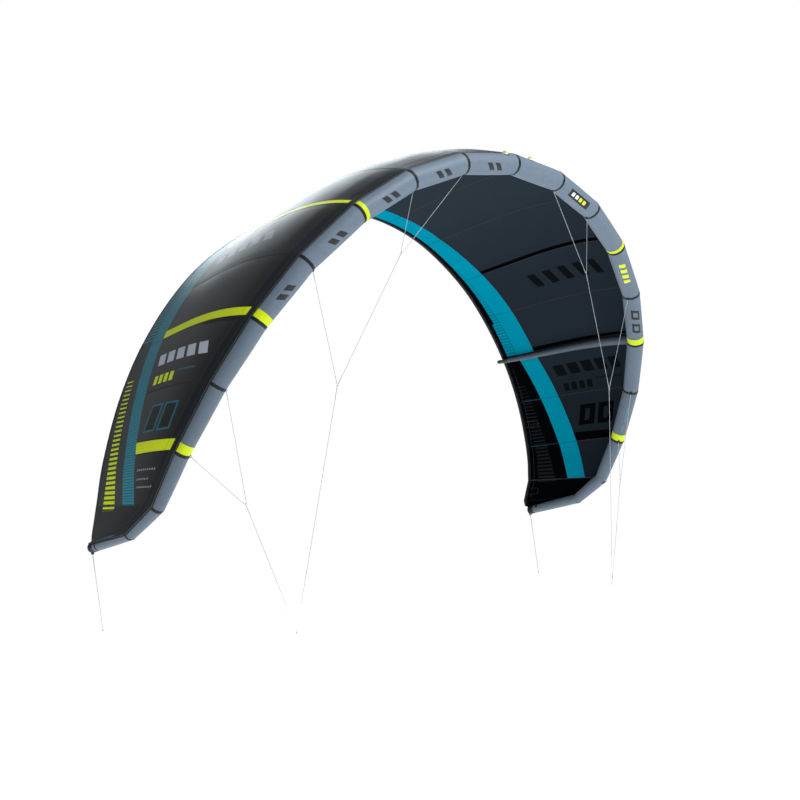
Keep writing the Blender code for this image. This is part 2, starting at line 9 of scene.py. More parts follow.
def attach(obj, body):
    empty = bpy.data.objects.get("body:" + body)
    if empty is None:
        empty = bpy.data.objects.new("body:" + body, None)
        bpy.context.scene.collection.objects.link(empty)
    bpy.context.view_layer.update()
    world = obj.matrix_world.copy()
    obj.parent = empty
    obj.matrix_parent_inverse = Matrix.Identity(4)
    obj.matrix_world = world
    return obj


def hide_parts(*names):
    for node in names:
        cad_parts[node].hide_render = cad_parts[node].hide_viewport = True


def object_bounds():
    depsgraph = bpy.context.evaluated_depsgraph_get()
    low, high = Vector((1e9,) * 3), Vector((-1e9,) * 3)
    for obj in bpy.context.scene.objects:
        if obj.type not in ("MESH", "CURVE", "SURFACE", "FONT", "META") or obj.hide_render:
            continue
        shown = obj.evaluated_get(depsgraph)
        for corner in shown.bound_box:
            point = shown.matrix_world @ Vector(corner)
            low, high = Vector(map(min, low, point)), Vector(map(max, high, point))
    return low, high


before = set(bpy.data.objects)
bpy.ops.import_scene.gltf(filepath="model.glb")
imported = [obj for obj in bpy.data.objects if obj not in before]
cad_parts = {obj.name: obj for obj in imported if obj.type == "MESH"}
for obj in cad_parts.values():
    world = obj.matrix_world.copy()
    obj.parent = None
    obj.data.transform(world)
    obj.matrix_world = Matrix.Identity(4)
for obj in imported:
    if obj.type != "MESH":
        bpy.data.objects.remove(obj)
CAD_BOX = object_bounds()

SIDES = (("right", -1), ("left", 1))
LAST = 10

# Leading edge and trailing edge arcs.
ARC_HALF_WIDTH, ARC_HEIGHT = 2.148, 2.146
SWEEP, SWEEP_GROWTH = 0.663, 0.5035
SEAM_ANGLES = (0.0, 12.55, 24.6, 36.3, 48.0, 59.0, 69.2, 79.3, 87.4)
KNEE, TIP = Vector((-2.162, 1.357, -2.197)), Vector((-2.124, 1.838, -2.269))
REAR_HALF_WIDTH, REAR_HEIGHT, REAR_FLARE = 1.986, 1.976, 0.0545
CENTRE_CHORD, REAR_SHIFT = 1.5945, (0.357, -0.408, 0.2575)
REAR_ANGLES = (0.0, 12.0, 24.6, 38.5, 49.7, 61.4, 72.2, 83.2, 91.2, 96.1, 98.8)
STRAIGHT_FROM = 8

# Leading edge tube, canopy profile and struts.
RADIUS_CENTRE, RADIUS_TIP, RADIUS_TAPER = 0.068, 0.030, 2.5
CAMBER, CAMBER_GROWTH, FULLNESS = 0.045, 0.015, 0.035
CLOTH_THICKNESS, CLOTH_LIFT = 0.0008, 0.0016
HEM_DEPTH, HEM_THICKNESS = 0.014, 0.0030
TIP_WRAP, TIP_OVERHANG, KNEE_REACH = 0.75, 0.020, 1.07
TIP_FLATNESS = {8: 0.35, 9: 0.92}
STRUTS = (("centre", 0, -1), ("right", 5, -1), ("left", 5, 1))
STRUT_FRONT, STRUT_REAR, STRUT_GAP, STRUT_END = 0.034, 0.017, 0.0040, 0.055

# Bridle, on the right half.
LINE, PIGTAIL = 0.003, 0.0035
TIP_FORK = Vector((-1.828, 0.674, -2.070))
CROWN_FORK = Vector((-0.915, 0.161, -0.619))
MAIN_FORK = Vector((-1.340, 0.355, -1.415))
FRONT_LINE_END = Vector((-1.547, 0.624, -2.832))
REAR_LINE_END = Vector((-2.112, 1.785, -2.770))
TIP_YOKE, CROWN_YOKE, MIDDLE_LEG = (7, 6), (2, 1), 4
YOKE_BEND, RING_RADIUS, RING_WIRE = 0.009, 0.006, 0.0015
RING_PLAY, STANDOFF, OPEN_GAP = 0.0010, 0.0030, 0.009
KNOT, GAP = 0.005, 0.0003

# Sewn tabs of the bridle: webbing loop and the patch under it.
TAB_REACH, TAB_RISE, TAB_HALF_WIDTH, WEBBING_HALF = 0.0075, 0.0100, 0.005, 0.0006
PATCH_HALF_LENGTH, PATCH_HALF_WIDTH = 0.016, 0.009

# Camera: turns in degrees, place in metres.
CAMERA_YAW, CAMERA_PITCH, CAMERA_ROLL = 45.42, 4.16, -4.10
CAMERA_PLACE = Vector((-6.942, -5.674, -2.123))
CAMERA_LENS, CAMERA_SENSOR = 63.0, 36.0

# Panels of colour. Distances are metres along the cloth from the trailing edge.
BAND_INNER = (0.155, 0.157, 0.175, 0.235, 0.280, 0.305, 0.385, 0.470, 0.530, 0.58, 0.6)
BAND_WIDTH = 0.160
STRIPES = ((3, 0.036, 0.028), (5, 0.062, 0.050), (7, 0.078, 0.056))
DASH_PITCH, TICK_PITCH, RIB_PITCH = 0.030, 0.027, 0.0155
COMB_END, COLUMN_START, COLUMN_END = 4.97, 5.62, 8.16
SEAM_BAND = 0.020

SLATE = (0.108, 0.148, 0.196)
LIME = (0.600, 0.720, 0.000)
TEAL = (0.0003, 0.210, 0.310)
CHARCOAL = (0.034, 0.036, 0.039)
NIGHT = (0.0010, 0.0013, 0.0019)


# ---------------------------------------------------------------- wing shape

def mirrored(point, side):
    """Moves a point of the right half to the side with that sign."""
    return Vector((-side * point[0], point[1], point[2]))


def front_point(station):
    """Leading edge tube centre at a station of the right half."""
    if station >= len(SEAM_ANGLES):
        return (KNEE if station == LAST - 1 else TIP).copy()
    angle = math.radians(SEAM_ANGLES[station])
    drop = 1.0 - math.cos(angle)
    return Vector((
        -ARC_HALF_WIDTH * math.sin(angle),
        SWEEP * drop + SWEEP_GROWTH * drop ** 2,
        -ARC_HEIGHT * drop,
    ))


def rear_point(station):
    """Trailing edge at a station of the right half."""
    angle = math.radians(REAR_ANGLES[station])
    drop = 1.0 - math.cos(angle)
    shift = sum(k * drop ** (n + 1) for n, k in enumerate(REAR_SHIFT))
    return Vector((
        -REAR_HALF_WIDTH * (1.0 + REAR_FLARE * drop ** 2) * math.sin(angle),
        CENTRE_CHORD + shift,
        -REAR_HEIGHT * drop,
    ))


def tube_radius(station):
    """Radius of the leading edge tube at a station."""
    return RADIUS_CENTRE + (RADIUS_TIP - RADIUS_CENTRE) * (station / LAST) ** RADIUS_TAPER


def station_frame(station):
    """Front point, chord length, chord direction and outward normal of a station."""
    front = front_point(station)
    chord = rear_point(station) - front
    along = chord.normalized()
    if station == 0:
        return front, chord.length, along, Vector((0.0, 0.0, 1.0))
    near = min(station, STRAIGHT_FROM)
    span = front_point(near + 1) - front_point(near - 1)
    return front, chord.length, along, along.cross(span).normalized()


def profile_point(station, part):
    """Point of the canopy's middle surface at a part of a station's chord."""
    front, length, along, normal = station_frame(station)
    inboard = 1.0 - station / LAST
    camber, fullness = CAMBER + CAMBER_GROWTH * inboard, FULLNESS * inboard ** 1.5
    fall = (1.0 - part) ** 3 if station <= STRAIGHT_FROM else 1.0 - part ** 2
    height = (tube_radius(station) + CLOTH_LIFT) * fall
    height += length * camber * 6.75 * part * (1.0 - part) ** 2
    height += length * fullness * 4.0 * part * (1.0 - part)
    return front + along * (part * length) + normal * height


def seam_direction(station):
    """Direction across a seam of the tube, half way between its two panels."""
    if station == 0:
        return Vector((-1.0, 0.0, 0.0))
    here = front_point(station)
    back = (here - front_point(station - 1)).normalized()
    if station == LAST:
        return back
    return (back + (front_point(station + 1) - here).normalized()).normalized()


FRONTS = [front_point(s) for s in range(LAST + 1)]
NORMALS = [station_frame(s)[3] for s in range(LAST + 1)]
PANELS = [(b - a).length for a, b in zip(FRONTS, FRONTS[1:])]


def smooth(value):
    """Eases a share between 0 and 1."""
    value = min(1.0, max(0.0, value))
    return value * value * (3.0 - 2.0 * value)


def tube_frame(s):
    """Centre, direction, outward and forward vectors of the tube at a station number."""
    i = min(int(s), LAST - 1)
    q = s - i
    segment = (FRONTS[i + 1] - FRONTS[i]).normalized()
    near, far = max(0.0, 1.0 - q * 6.0), max(0.0, 1.0 - (1.0 - q) * 6.0)
    direction = segment * (1.0 - near - far) + seam_direction(i) * near + seam_direction(i + 1) * far
    direction.normalize()
    over = NORMALS[i].lerp(NORMALS[i + 1], q)
    over = (over - direction * over.dot(direction)).normalized()
    return FRONTS[i].lerp(FRONTS[i + 1], q), direction, over, over.cross(direction)


def tube_point(s, angle, lift, side):
    """Point on the tube. Angle 0 faces outwards and a positive angle goes forwards."""
    centre, _, over, across = tube_frame(min(s, float(LAST)))
    q = s - int(s)
    pinch = math.exp(-min(q, 1.0 - q) * 14.0) if s < LAST else 0.0
    radius = tube_radius(s) + 0.0014 * math.sin(math.pi * q) + lift
    radius += 0.0008 * pinch * math.sin(11.0 * angle + 3.0 * int(s + 0.5))
    return mirrored(centre + (over * math.cos(angle) + across * math.sin(angle)) * radius, side)


def station_at(s, metres):
    """Station number that lies some metres further along the tube from station s."""
    panel = min(int(s + 1e-6), LAST - 1) if metres >= 0 else max(int(s - 1e-6), 0)
    return s + metres / PANELS[panel]


# ------------------------------------------------------------ canopy surface

CHORD = [(n / 64.0) ** 1.35 for n in range(65)]
SPAN_STEPS = 14


def canopy_columns():
    """Rows of points for stations 0 to 10 of the right half."""
    rows = []
    for station in range(LAST):
        last = 1.0 - (HEM_DEPTH * 0.5) / station_frame(station)[1]
        last *= KNEE_REACH if station == LAST - 1 else 1.0
        row = [profile_point(station, 0.006 + (last - 0.006) * t) for t in CHORD]
        flat = TIP_FLATNESS.get(station, 0.0)
        rows.append([p.lerp(row[0].lerp(row[-1], t), flat) for p, t in zip(row, CHORD)])
    end = seam_direction(LAST) * TIP_OVERHANG
    rows.append([tube_point(float(LAST), -TIP_WRAP * t, CLOTH_LIFT + 0.010 * t, -1) + end for t in CHORD])
    return np.array([[tuple(p) for p in row] for row in rows])


def canopy_surface():
    """Middle surface of the whole canopy as a grid, with its station numbers."""
    right = canopy_columns()
    left = right * np.array([-1.0, 1.0, 1.0])
    nodes = np.concatenate([right[:0:-1], left])
    chord = np.array(CHORD)
    grid, stations = [], []
    for i in range(2 * LAST):
        a, b = nodes[i], nodes[i + 1]
        before = nodes[max(i - 1, 0)]
        after = nodes[min(i + 2, 2 * LAST)]
        for step in range(SPAN_STEPS + (i == 2 * LAST - 1)):
            q = step / SPAN_STEPS
            s = i + q - LAST
            straight = a + (b - a) * q
            curve = 0.5 * (2 * a + (b - before) * q + (2 * before - 5 * a + 4 * b - after) * q ** 2
                           + (3 * a - 3 * b + after - before) * q ** 3)
            inner = 1.0 - smooth(abs(s) - 7.3)
            free = np.clip(chord / 0.12, 0.0, 1.0)[:, None] * inner
            row = straight + (curve - straight) * free
            grid.append(row)
            stations.append(s)
    return np.array(grid), np.array(stations)


def grid_normals(grid):
    """Outward unit normals of a grid of points."""
    span = np.gradient(grid, axis=0)
    chord = np.gradient(grid, axis=1)
    normal = np.cross(span, chord)
    length = np.linalg.norm(normal, axis=2, keepdims=True)
    return normal / np.maximum(length, 1e-12)


def along_grid(grid, axis):
    """Distance along a grid from its first row or column."""
    steps = np.linalg.norm(np.diff(grid, axis=axis), axis=2)
    total = np.cumsum(steps, axis=axis)
    start = np.zeros_like(np.take(total, [0], axis=axis))
    return np.concatenate([start, total], axis=axis)


CLOTH, STATIONS = canopy_surface()
CLOTH_NORMAL = grid_normals(CLOTH)
if CLOTH_NORMAL[len(STATIONS) // 2, 30, 2] < 0:
    CLOTH_NORMAL = -CLOTH_NORMAL
SEAM_DIP = np.exp(-np.abs(STATIONS - np.round(STATIONS)) * 26.0)[:, None]
FADE = np.sin(np.pi * np.clip(np.array(CHORD), 0.0, 1.0)) ** 0.5
FADE = FADE[None, :] * np.clip(9.0 - np.abs(STATIONS), 0.0, 1.0)[:, None]
CLOTH = CLOTH - CLOTH_NORMAL * (0.0022 * SEAM_DIP * FADE)[:, :, None]
CLOTH_NORMAL = grid_normals(CLOTH)
if CLOTH_NORMAL[len(STATIONS) // 2, 30, 2] < 0:
    CLOTH_NORMAL = -CLOTH_NORMAL
FROM_FRONT = along_grid(CLOTH, 1)
FROM_REAR = FROM_FRONT[:, -1:] - FROM_FRONT
FROM_TIP = along_grid(CLOTH, 0)


def cloth_at(s, part, lift):
    """Point and normal over the canopy at a signed station number and chord step."""
    row = (s + LAST) * SPAN_STEPS
    column = part * (len(CHORD) - 1)
    i, j = min(int(row), len(STATIONS) - 2), min(int(column), len(CHORD) - 2)
    a, b = row - i, column - j

    def mix(table):
        first = table[i, j] * (1 - b) + table[i, j + 1] * b
        return first * (1 - a) + (table[i + 1, j] * (1 - b) + table[i + 1, j + 1] * b) * a

    normal = Vector(mix(CLOTH_NORMAL)).normalized()
    return Vector(mix(CLOTH)) + normal * lift, normal


def step_for(s, metres, rear):
    """Chord step of the cloth that lies some metres from its front or rear edge."""
    row = min(int(round((s + LAST) * SPAN_STEPS)), len(STATIONS) - 1)
    distances = FROM_FRONT[row]
    target = distances[-1] - metres if rear else metres
    return float(np.interp(target, distances, np.arange(len(CHORD)))) / (len(CHORD) - 1)


# ------------------------------------------------------------- mesh building

def add_object(name, points, faces, materials, slots=None, smooth_angle=35.0):
    """Adds a mesh piece, smooth except at sharp edges."""
    mesh = bpy.data.meshes.new(name)
    mesh.from_pydata([tuple(p) for p in points], [], faces)
    for material in materials:
        mesh.materials.append(material)
    if slots is not None:
        mesh.polygons.foreach_set("material_index", slots)
    mesh.shade_smooth()
    mesh.set_sharp_from_angle(angle=math.radians(smooth_angle))
    mesh.update()
    obj = bpy.data.objects.new(name, mesh)
    bpy.context.scene.collection.objects.link(obj)
    return obj


def ring_faces(rows, sides, capped=True):
    """Faces of stacked rings of points, closed at both ends when capped."""
    faces = [(r * sides + k, r * sides + (k + 1) % sides,
              (r + 1) * sides + (k + 1) % sides, (r + 1) * sides + k)
             for r in range(rows - 1) for k in range(sides)]
    if capped:
        faces += [tuple(range(sides)), tuple((rows - 1) * sides + k for k in range(sides))]
    return faces


def face_outwards(obj):
    """Turns every closed part of a mesh so that its faces look out."""
    shell = bmesh.new()
    shell.from_mesh(obj.data)
    bmesh.ops.recalc_face_normals(shell, faces=shell.faces)
    shell.to_mesh(obj.data)
    shell.free()
    obj.data.set_sharp_from_angle(angle=math.radians(35.0))


class Pile:
    """Gathers many small closed shapes into one piece."""

    def __init__(self):
        self.points, self.faces = [], []

    def add(self, points, faces):
        start = len(self.points)
        self.points.extend(points)
        self.faces.extend(tuple(start + n for n in face) for face in faces)

    def slab(self, top, bottom, wrap=False):
        """A thin closed slab between two grids of points. A wrapped one is a ring."""
        rows, columns = len(top), len(top[0])
        flat = [p for row in top for p in row] + [p for row in bottom for p in row]
        count = rows * columns
        faces = []
        across = columns if wrap else columns - 1
        for r in range(rows - 1):
            for c in range(across):
                d = (c + 1) % columns
                a, b = r * columns + c, r * columns + d
                e, f = a + columns, b + columns
                faces.append((a, b, f, e))
                faces.append((count + a, count + e, count + f, count + b))
        edges = [(c, (c + 1) % columns) for c in range(across)]
        base = (rows - 1) * columns
        edges += [(base + (c + 1) % columns, base + c) for c in range(across)]
        if not wrap:
            edges += [((r + 1) * columns, r * columns) for r in range(rows - 1)]
            edges += [(r * columns + columns - 1, (r + 1) * columns + columns - 1) for r in range(rows - 1)]
        faces += [(b, a, count + a, count + b) for a, b in edges]
        self.add(flat, faces)

    def tube(self, path, radii, sides, up, capped=True):
        """A round bar along a path of points."""
        rings, over = [], Vector(up)
        for n, centre in enumerate(path):
            ahead, behind = path[min(n + 1, len(path) - 1)], path[max(n - 1, 0)]
            direction = (ahead - behind).normalized()
            over = (over - direction * over.dot(direction)).normalized()
            across = over.cross(direction)
            rings.append([centre + (across * math.cos(2 * math.pi * k / sides)
                                    + over * math.sin(2 * math.pi * k / sides)) * radii[n]
                          for k in range(sides)])
        self.add([p for ring in rings for p in ring], ring_faces(len(rings), sides, capped))

    def ring(self, centre, radius, wire, normal, start, around=28, sides=10):
        """A closed ring of round wire."""
        across = normal.cross(start).normalized()
        flat, faces = [], []
        for a in range(around):
            turn = 2 * math.pi * a / around
            radial = start * math.cos(turn) + across * math.sin(turn)
            for t in range(sides):
                roll = 2 * math.pi * t / sides
                flat.append(centre + radial * (radius + wire * math.cos(roll))
                            + normal * (wire * math.sin(roll)))
                b, u = (a + 1) % around, (t + 1) % sides
                faces.append((a * sides + t, b * sides + t, b * sides + u, a * sides + u))
        self.add(flat, faces)

    def lathe(self, place, axis, profile, sides, start):
        """Adds a turned shape from (distance along the axis, radius) steps."""
        start = (start - axis * start.dot(axis)).normalized()
        other = axis.cross(start)
        flat = [place + axis * d + (start * math.cos(2 * math.pi * k / sides)
                                    + other * math.sin(2 * math.pi * k / sides)) * r
                for d, r in profile for k in range(sides)]
        self.add(flat, ring_faces(len(profile), sides))

    def build(self, name, materials, body, slot):
        """Makes the piece and lets it ride on a body. Its slot argument is not used."""
        obj = add_object(name, self.points, self.faces, materials)
        face_outwards(obj)
        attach(obj, body)
        return obj


# ----------------------------------------------------------------- materials

class Number:
    """A number inside a shader, worked out by math nodes."""

    def __init__(self, tree, socket):
        self.tree, self.socket = tree, socket

    def _math(self, kind, *others):
        node = self.tree.nodes.new("ShaderNodeMath")
        node.operation = kind
        for place, value in enumerate((self, *others)):
            if isinstance(value, Number):
                self.tree.links.new(value.socket, node.inputs[place])
            else:
                node.inputs[place].default_value = value
        return Number(self.tree, node.outputs[0])

    def __add__(self, other):
        return self._math("ADD", other)

    def __sub__(self, other):
        return self._math("SUBTRACT", other)

    def __mul__(self, other):
        return self._math("MULTIPLY", other)

    def __truediv__(self, other):
        return self._math("DIVIDE", other)

    def above(self, edge):
        return self._math("GREATER_THAN", edge)

    def below(self, edge):
        return self._math("LESS_THAN", edge)

    def inside(self, low, high):
        return self.above(low) * self.below(high)

    def either(self, other):
        return self._math("MAXIMUM", other)

    def fraction(self):
        return self._math("FRACT")

    def floor(self):
        return self._math("FLOOR")

    def wave(self):
        return self._math("SINE")

    def far(self):
        return self._math("ABSOLUTE")

    def ramp(self, low, high):
        """0 at low, 1 at high, eased between them."""
        node = self.tree.nodes.new("ShaderNodeMapRange")
        node.interpolation_type = "SMOOTHSTEP"
        self.tree.links.new(self.socket, node.inputs[0])
        for place, value in zip((1, 2, 3, 4), (low, high, 0.0, 1.0)):
            node.inputs[place].default_value = value
        return Number(self.tree, node.outputs[0])


class Look:
    """One material, with helpers for the patterns in it."""

    def __init__(self, name, colour, roughness, metallic=0.0):
        self.material = bpy.data.materials.new(name)
        self.material.use_nodes = True
        self.tree = self.material.node_tree
        self.shader = self.tree.nodes["Principled BSDF"]
        self.base = self.colour(colour)
        self.set("Roughness", roughness)
        self.set("Metallic", metallic)
        self.height = None

    def set(self, name, value):
        self.shader.inputs[name].default_value = value

    def colour(self, rgb):
        node = self.tree.nodes.new("ShaderNodeRGB")
        node.outputs[0].default_value = (*rgb, 1.0)
        return node.outputs[0]

    def attribute(self, name):
        node = self.tree.nodes.new("ShaderNodeAttribute")
        node.attribute_name = name
        return Number(self.tree, node.outputs["Fac"])

    def uv(self, name):
        node = self.tree.nodes.new("ShaderNodeUVMap")
        node.uv_map = name
        split = self.tree.nodes.new("ShaderNodeSeparateXYZ")
        self.tree.links.new(node.outputs[0], split.inputs[0])
        return Number(self.tree, split.outputs[0]), Number(self.tree, split.outputs[1])

    def noise(self, scale, detail=3.0, roughness=0.55, stretch=(1.0, 1.0, 1.0)):
        place = self.tree.nodes.new("ShaderNodeTexCoord")
        scaled = self.tree.nodes.new("ShaderNodeMapping")
        scaled.inputs["Scale"].default_value = stretch
        node = self.tree.nodes.new("ShaderNodeTexNoise")
        node.inputs["Scale"].default_value = scale
        node.inputs["Detail"].default_value = detail
        node.inputs["Roughness"].default_value = roughness
        self.tree.links.new(place.outputs["Object"], scaled.inputs[0])
        self.tree.links.new(scaled.outputs[0], node.inputs["Vector"])
        return Number(self.tree, node.outputs[0])

    def paint(self, mask, rgb):
        """Lays a colour over what is there, by a mask."""
        node = self.tree.nodes.new("ShaderNodeMix")
        node.data_type = "RGBA"
        if isinstance(mask, Number):
            self.tree.links.new(mask.socket, node.inputs[0])
        else:
            node.inputs[0].default_value = mask
        self.tree.links.new(self.base, node.inputs[6])
        self.tree.links.new(self.colour(rgb), node.inputs[7])
        self.base = node.outputs[2]

    def vary(self, amount, low, high):
        """Makes the colour darker or lighter by a number between 0 and 1."""
        node = self.tree.nodes.new("ShaderNodeHueSaturation")
        factor = amount * (high - low) + low
        self.tree.links.new(factor.socket, node.inputs["Value"])
        self.tree.links.new(self.base, node.inputs["Color"])
        self.base = node.outputs[0]

    def rough(self, number):
        self.tree.links.new(number.socket, self.shader.inputs["Roughness"])

    def bump(self, number, distance, strength=1.0):
        node = self.tree.nodes.new("ShaderNodeBump")
        node.inputs["Distance"].default_value = distance
        node.inputs["Strength"].default_value = strength
        self.tree.links.new(number.socket, node.inputs["Height"])
        if self.height is not None:
            self.tree.links.new(self.height, node.inputs["Normal"])
        self.height = node.outputs[0]

    def done(self):
        self.tree.links.new(self.base, self.shader.inputs["Base Color"])
        if self.height is not None:
            self.tree.links.new(self.height, self.shader.inputs["Normal"])
        return self.material


def ripstop(look, pitch=0.006):
    """Plain weave with the raised square grid of ripstop cloth."""
    u, v = look.uv("cloth")
    lines = (u / pitch).fraction().below(0.14).either((v / pitch).fraction().below(0.14))
    look.bump(lines, 0.00012, 0.5)
    threads = (u * 2600.0).wave() * (v * 2600.0).wave()
    look.bump(threads, 0.00004, 0.35)
    return lines


def bars(station, front, box, count, fill, slant):
    """Mask of a row of plain slanted bars in a box of station and front distance."""
    s0, s1, f0, f1 = box
    v = (station - s0) / (s1 - s0)
    u = (front - f0) / (f1 - f0) + v * slant
    inside = v.inside(0.0, 1.0) * u.inside(0.0, 1.0)
    return inside * (u * float(count)).fraction().below(fill)


def outlined(station, front, box, slant, edge):
    """Masks of a plain slanted block and of its outline."""
    s0, s1, f0, f1 = box
    v = (station - s0) / (s1 - s0)
    u = (front - f0) / (f1 - f0) + v * slant
    block = v.inside(0.0, 1.0) * u.inside(0.0, 1.0)
    core = v.inside(edge, 1.0 - edge) * u.inside(edge * 1.6, 1.0 - edge * 1.6)
    return block, block - core


def wing_fields(look):
    """The distances over the canopy that its pattern is drawn from."""
    names = ("station", "front", "rear", "along", "band", "side", "gap3", "gap5", "gap7")
    return {name: look.attribute(name) for name in names}


def panel_pattern(f):
    """Masks shared by the two faces of the canopy."""
    stripe = {}
    for station, width, _ in STRIPES:
        gap = f[f"gap{station}"]
        stripe[station] = gap.inside(0.0, width) * f["band"].below(0.0) * f["front"].above(0.030)
    inner = f["station"].below(8.0)
    band = f["band"].inside(0.0, BAND_WIDTH) * inner
    outer = f["band"].above(BAND_WIDTH) * inner
    ticks = (f["along"] / TICK_PITCH).fraction()
    share = f["station"].ramp(2.4, 5.0)
    comb = outer * f["station"].below(COMB_END) * ticks.above(share * 0.62)
    return stripe, band, comb, inner


def canopy_top():
    """Outer face: charcoal ripstop with lime stripes and a ribbed teal band."""
    look = Look("canopy_outer", CHARCOAL, 0.40)
    f = wing_fields(look)
    stripe, band, comb, inner = panel_pattern(f)
    look.paint(look.noise(2.2, 2.0) * 0.5, (0.024, 0.025, 0.028))
    look.paint(inner.below(0.5), (0.016, 0.016, 0.017))
    # Painted shade: the outer face darkens towards the leading edge over its first 0.42 m.
    look.paint(f["front"].ramp(0.42, 0.0) * 0.80, NIGHT)
    look.paint(f["front"].below(0.075), (0.003, 0.006, 0.010))
    look.paint(band.either(comb), (0.018, 0.205, 0.275))
    ribs = (f["along"] / RIB_PITCH).fraction().below(0.36)
    look.paint(band * ribs * 0.85, (0.004, 0.070, 0.105))
    seam = (f["station"] - (f["station"] + 0.5).floor()).far()
    crossing = f["band"].above(0.0) * f["station"].inside(0.5, 7.5)
    look.paint(seam.below(0.008) * crossing * 0.35, (0.004, 0.050, 0.070))
    column = (f["side"]).inside(0.0, 1.0) * f["station"].inside(COLUMN_START, COLUMN_END)
    fill = f["station"].ramp(5.2, 8.2) * 0.44 + 0.22
    look.paint(column * (f["along"] / DASH_PITCH).fraction().below(fill), LIME)
    for number, mask in stripe.items():
        width = dict((s, w) for s, w, _ in STRIPES)[number]
        edge = f[f"gap{number}"].inside(-0.006, width + 0.006) * f["band"].below(0.0) * f["front"].above(0.03)
        look.paint(edge, (0.004, 0.005, 0.020))
        look.paint(mask, LIME)
    fairing = f["gap5"].inside(-0.030, 0.004) * f["front"].inside(0.03, 0.40)
    look.paint(fairing, NIGHT)
    grey = (0.42, 0.47, 0.55)
    look.paint(bars(f["station"], f["front"], (5.36, 5.56, 0.21, 0.83), 5, 0.72, 0.10), grey)
    look.paint(bars(f["station"], f["front"], (5.75, 5.90, 0.42, 0.70), 4, 0.66, 0.10), LIME)
    look.paint(bars(f["station"], f["front"], (5.74, 5.77, 0.20, 0.39), 14, 0.6, 0.0), (0.02, 0.14, 0.19))
    for low in (0.170, 0.340):
        block, rim = outlined(f["station"], f["front"], (6.25, 6.66, low, low + 0.140), 0.24, 0.07)
        look.paint(block, (0.008, 0.007, 0.007))
        look.paint(rim, (0.01, 0.12, 0.17))
    for s0, f0, f1 in ((7.27, 0.10, 0.32), (7.44, 0.14, 0.28), (7.60, 0.07, 0.25)):
        look.paint(bars(f["station"], f["front"], (s0, s0 + 0.035, f0, f1), 9, 0.45, 0.0), (0.30, 0.31, 0.32))
    look.paint(bars(f["station"], f["front"], (3.42, 3.62, 0.45, 1.15), 5, 0.62, 0.10), (0.12, 0.13, 0.15))
    lines = ripstop(look)
    look.vary(lines * 0.5 + look.noise(160.0, 2.0) * 0.7, 0.82, 1.16)
    look.rough(look.noise(5.0, 4.0) * 0.10 + 0.36)
    look.set("Specular IOR Level", 0.26)
    return look.done()


def canopy_under():
    """Inner face: slate-black ripstop with the clear teal band."""
    look = Look("canopy_inner", (0.0140, 0.0205, 0.0280), 0.55)
    f = wing_fields(look)
    stripe, band, comb, inner = panel_pattern(f)
    look.paint(look.noise(1.8, 2.0) * 0.5, (0.0115, 0.0170, 0.0235))
    # Painted light and shade: the inner face is lighter up to station 3.5 and darker from station 4.5 to 6.5
    # towards the tips.
    look.paint(f["station"].ramp(3.5, 1.0) * 0.9, (0.0200, 0.0285, 0.0370))
    look.paint(f["station"].ramp(4.5, 6.5) * 0.9, (0.0085, 0.0130, 0.0180))
    near = f["band"].above(0.0) * f["station"].above(COMB_END)
    look.paint(near.either(inner.below(0.5)), NIGHT)
    seam = (f["station"] - (f["station"] + 0.5).floor()).far()
    look.paint(seam.below(0.010) * f["station"].inside(0.5, 8.5), (0.004, 0.005, 0.007))
    look.paint(band, TEAL)
    outer = f["band"].above(BAND_WIDTH) * f["station"].below(COMB_END)
    look.paint(outer, TEAL)
    look.paint(outer * (comb.below(0.5)) * 0.60, (0.001, 0.085, 0.125))
    rim = f["band"].inside(BAND_WIDTH - 0.004, BAND_WIDTH) * f["station"].below(COMB_END)
    look.paint(rim, (0.003, 0.10, 0.15))
    ribs = (f["along"] / RIB_PITCH).fraction().below(0.30)
    look.paint(band * ribs * f["station"].ramp(3.0, 5.5) * 0.35, (0.001, 0.100, 0.150))
    crossing = f["band"].above(0.0) * f["station"].inside(0.5, 7.5)
    look.paint(seam.below(0.009) * crossing * 0.45, (0.002, 0.075, 0.110))
    hem = (f["station"] * 0.012 + 0.020)
    look.paint(f["rear"].below(hem) * f["station"].below(4.2), NIGHT)
    look.paint(f["rear"].below(0.052) * f["station"].above(4.2), NIGHT)
    # Painted shadow: the outer face's dashes, stripes, bars and outlines show on the inner face as dark
    # marks, standing in for their shadow seen through the cloth.
    faint = (f["side"]).inside(0.0, 1.0) * f["station"].inside(COLUMN_START, COLUMN_END)
    fill = f["station"].ramp(5.2, 8.2) * 0.44 + 0.22
    look.paint(faint * (f["along"] / DASH_PITCH).fraction().below(fill) * 0.8, (0.010, 0.012, 0.014))
    for mask in stripe.values():
        look.paint(mask, (0.0015, 0.0015, 0.002))
    # Painted shadow of the outer face's bars and outlines, seen through the cloth.
    dark = (0.004, 0.005, 0.006)
    look.paint(bars(f["station"], f["front"], (5.34, 5.58, 0.21, 0.83), 5, 0.72, 0.10), dark)
    look.paint(bars(f["station"], f["front"], (5.75, 5.92, 0.42, 0.70), 4, 0.66, 0.10), dark)
    look.paint(bars(f["station"], f["front"], (5.72, 5.76, 0.14, 0.39), 14, 0.6, 0.0), dark)
    for low in (0.170, 0.340):
        _, rim = outlined(f["station"], f["front"], (6.25, 6.66, low, low + 0.140), 0.24, 0.22)
        look.paint(rim, (0.002, 0.002, 0.0025))
    look.paint(bars(f["station"], f["front"], (3.36, 3.66, 0.30, 0.98), 5, 0.50, 0.10), dark)
    lines = ripstop(look)
    look.vary(lines * 0.5 + look.noise(160.0, 2.0) * 0.7, 0.86, 1.14)
    look.rough(look.noise(5.0, 4.0) * 0.14 + 0.50)
    look.set("Specular IOR Level", 0.0)
    return look.done()


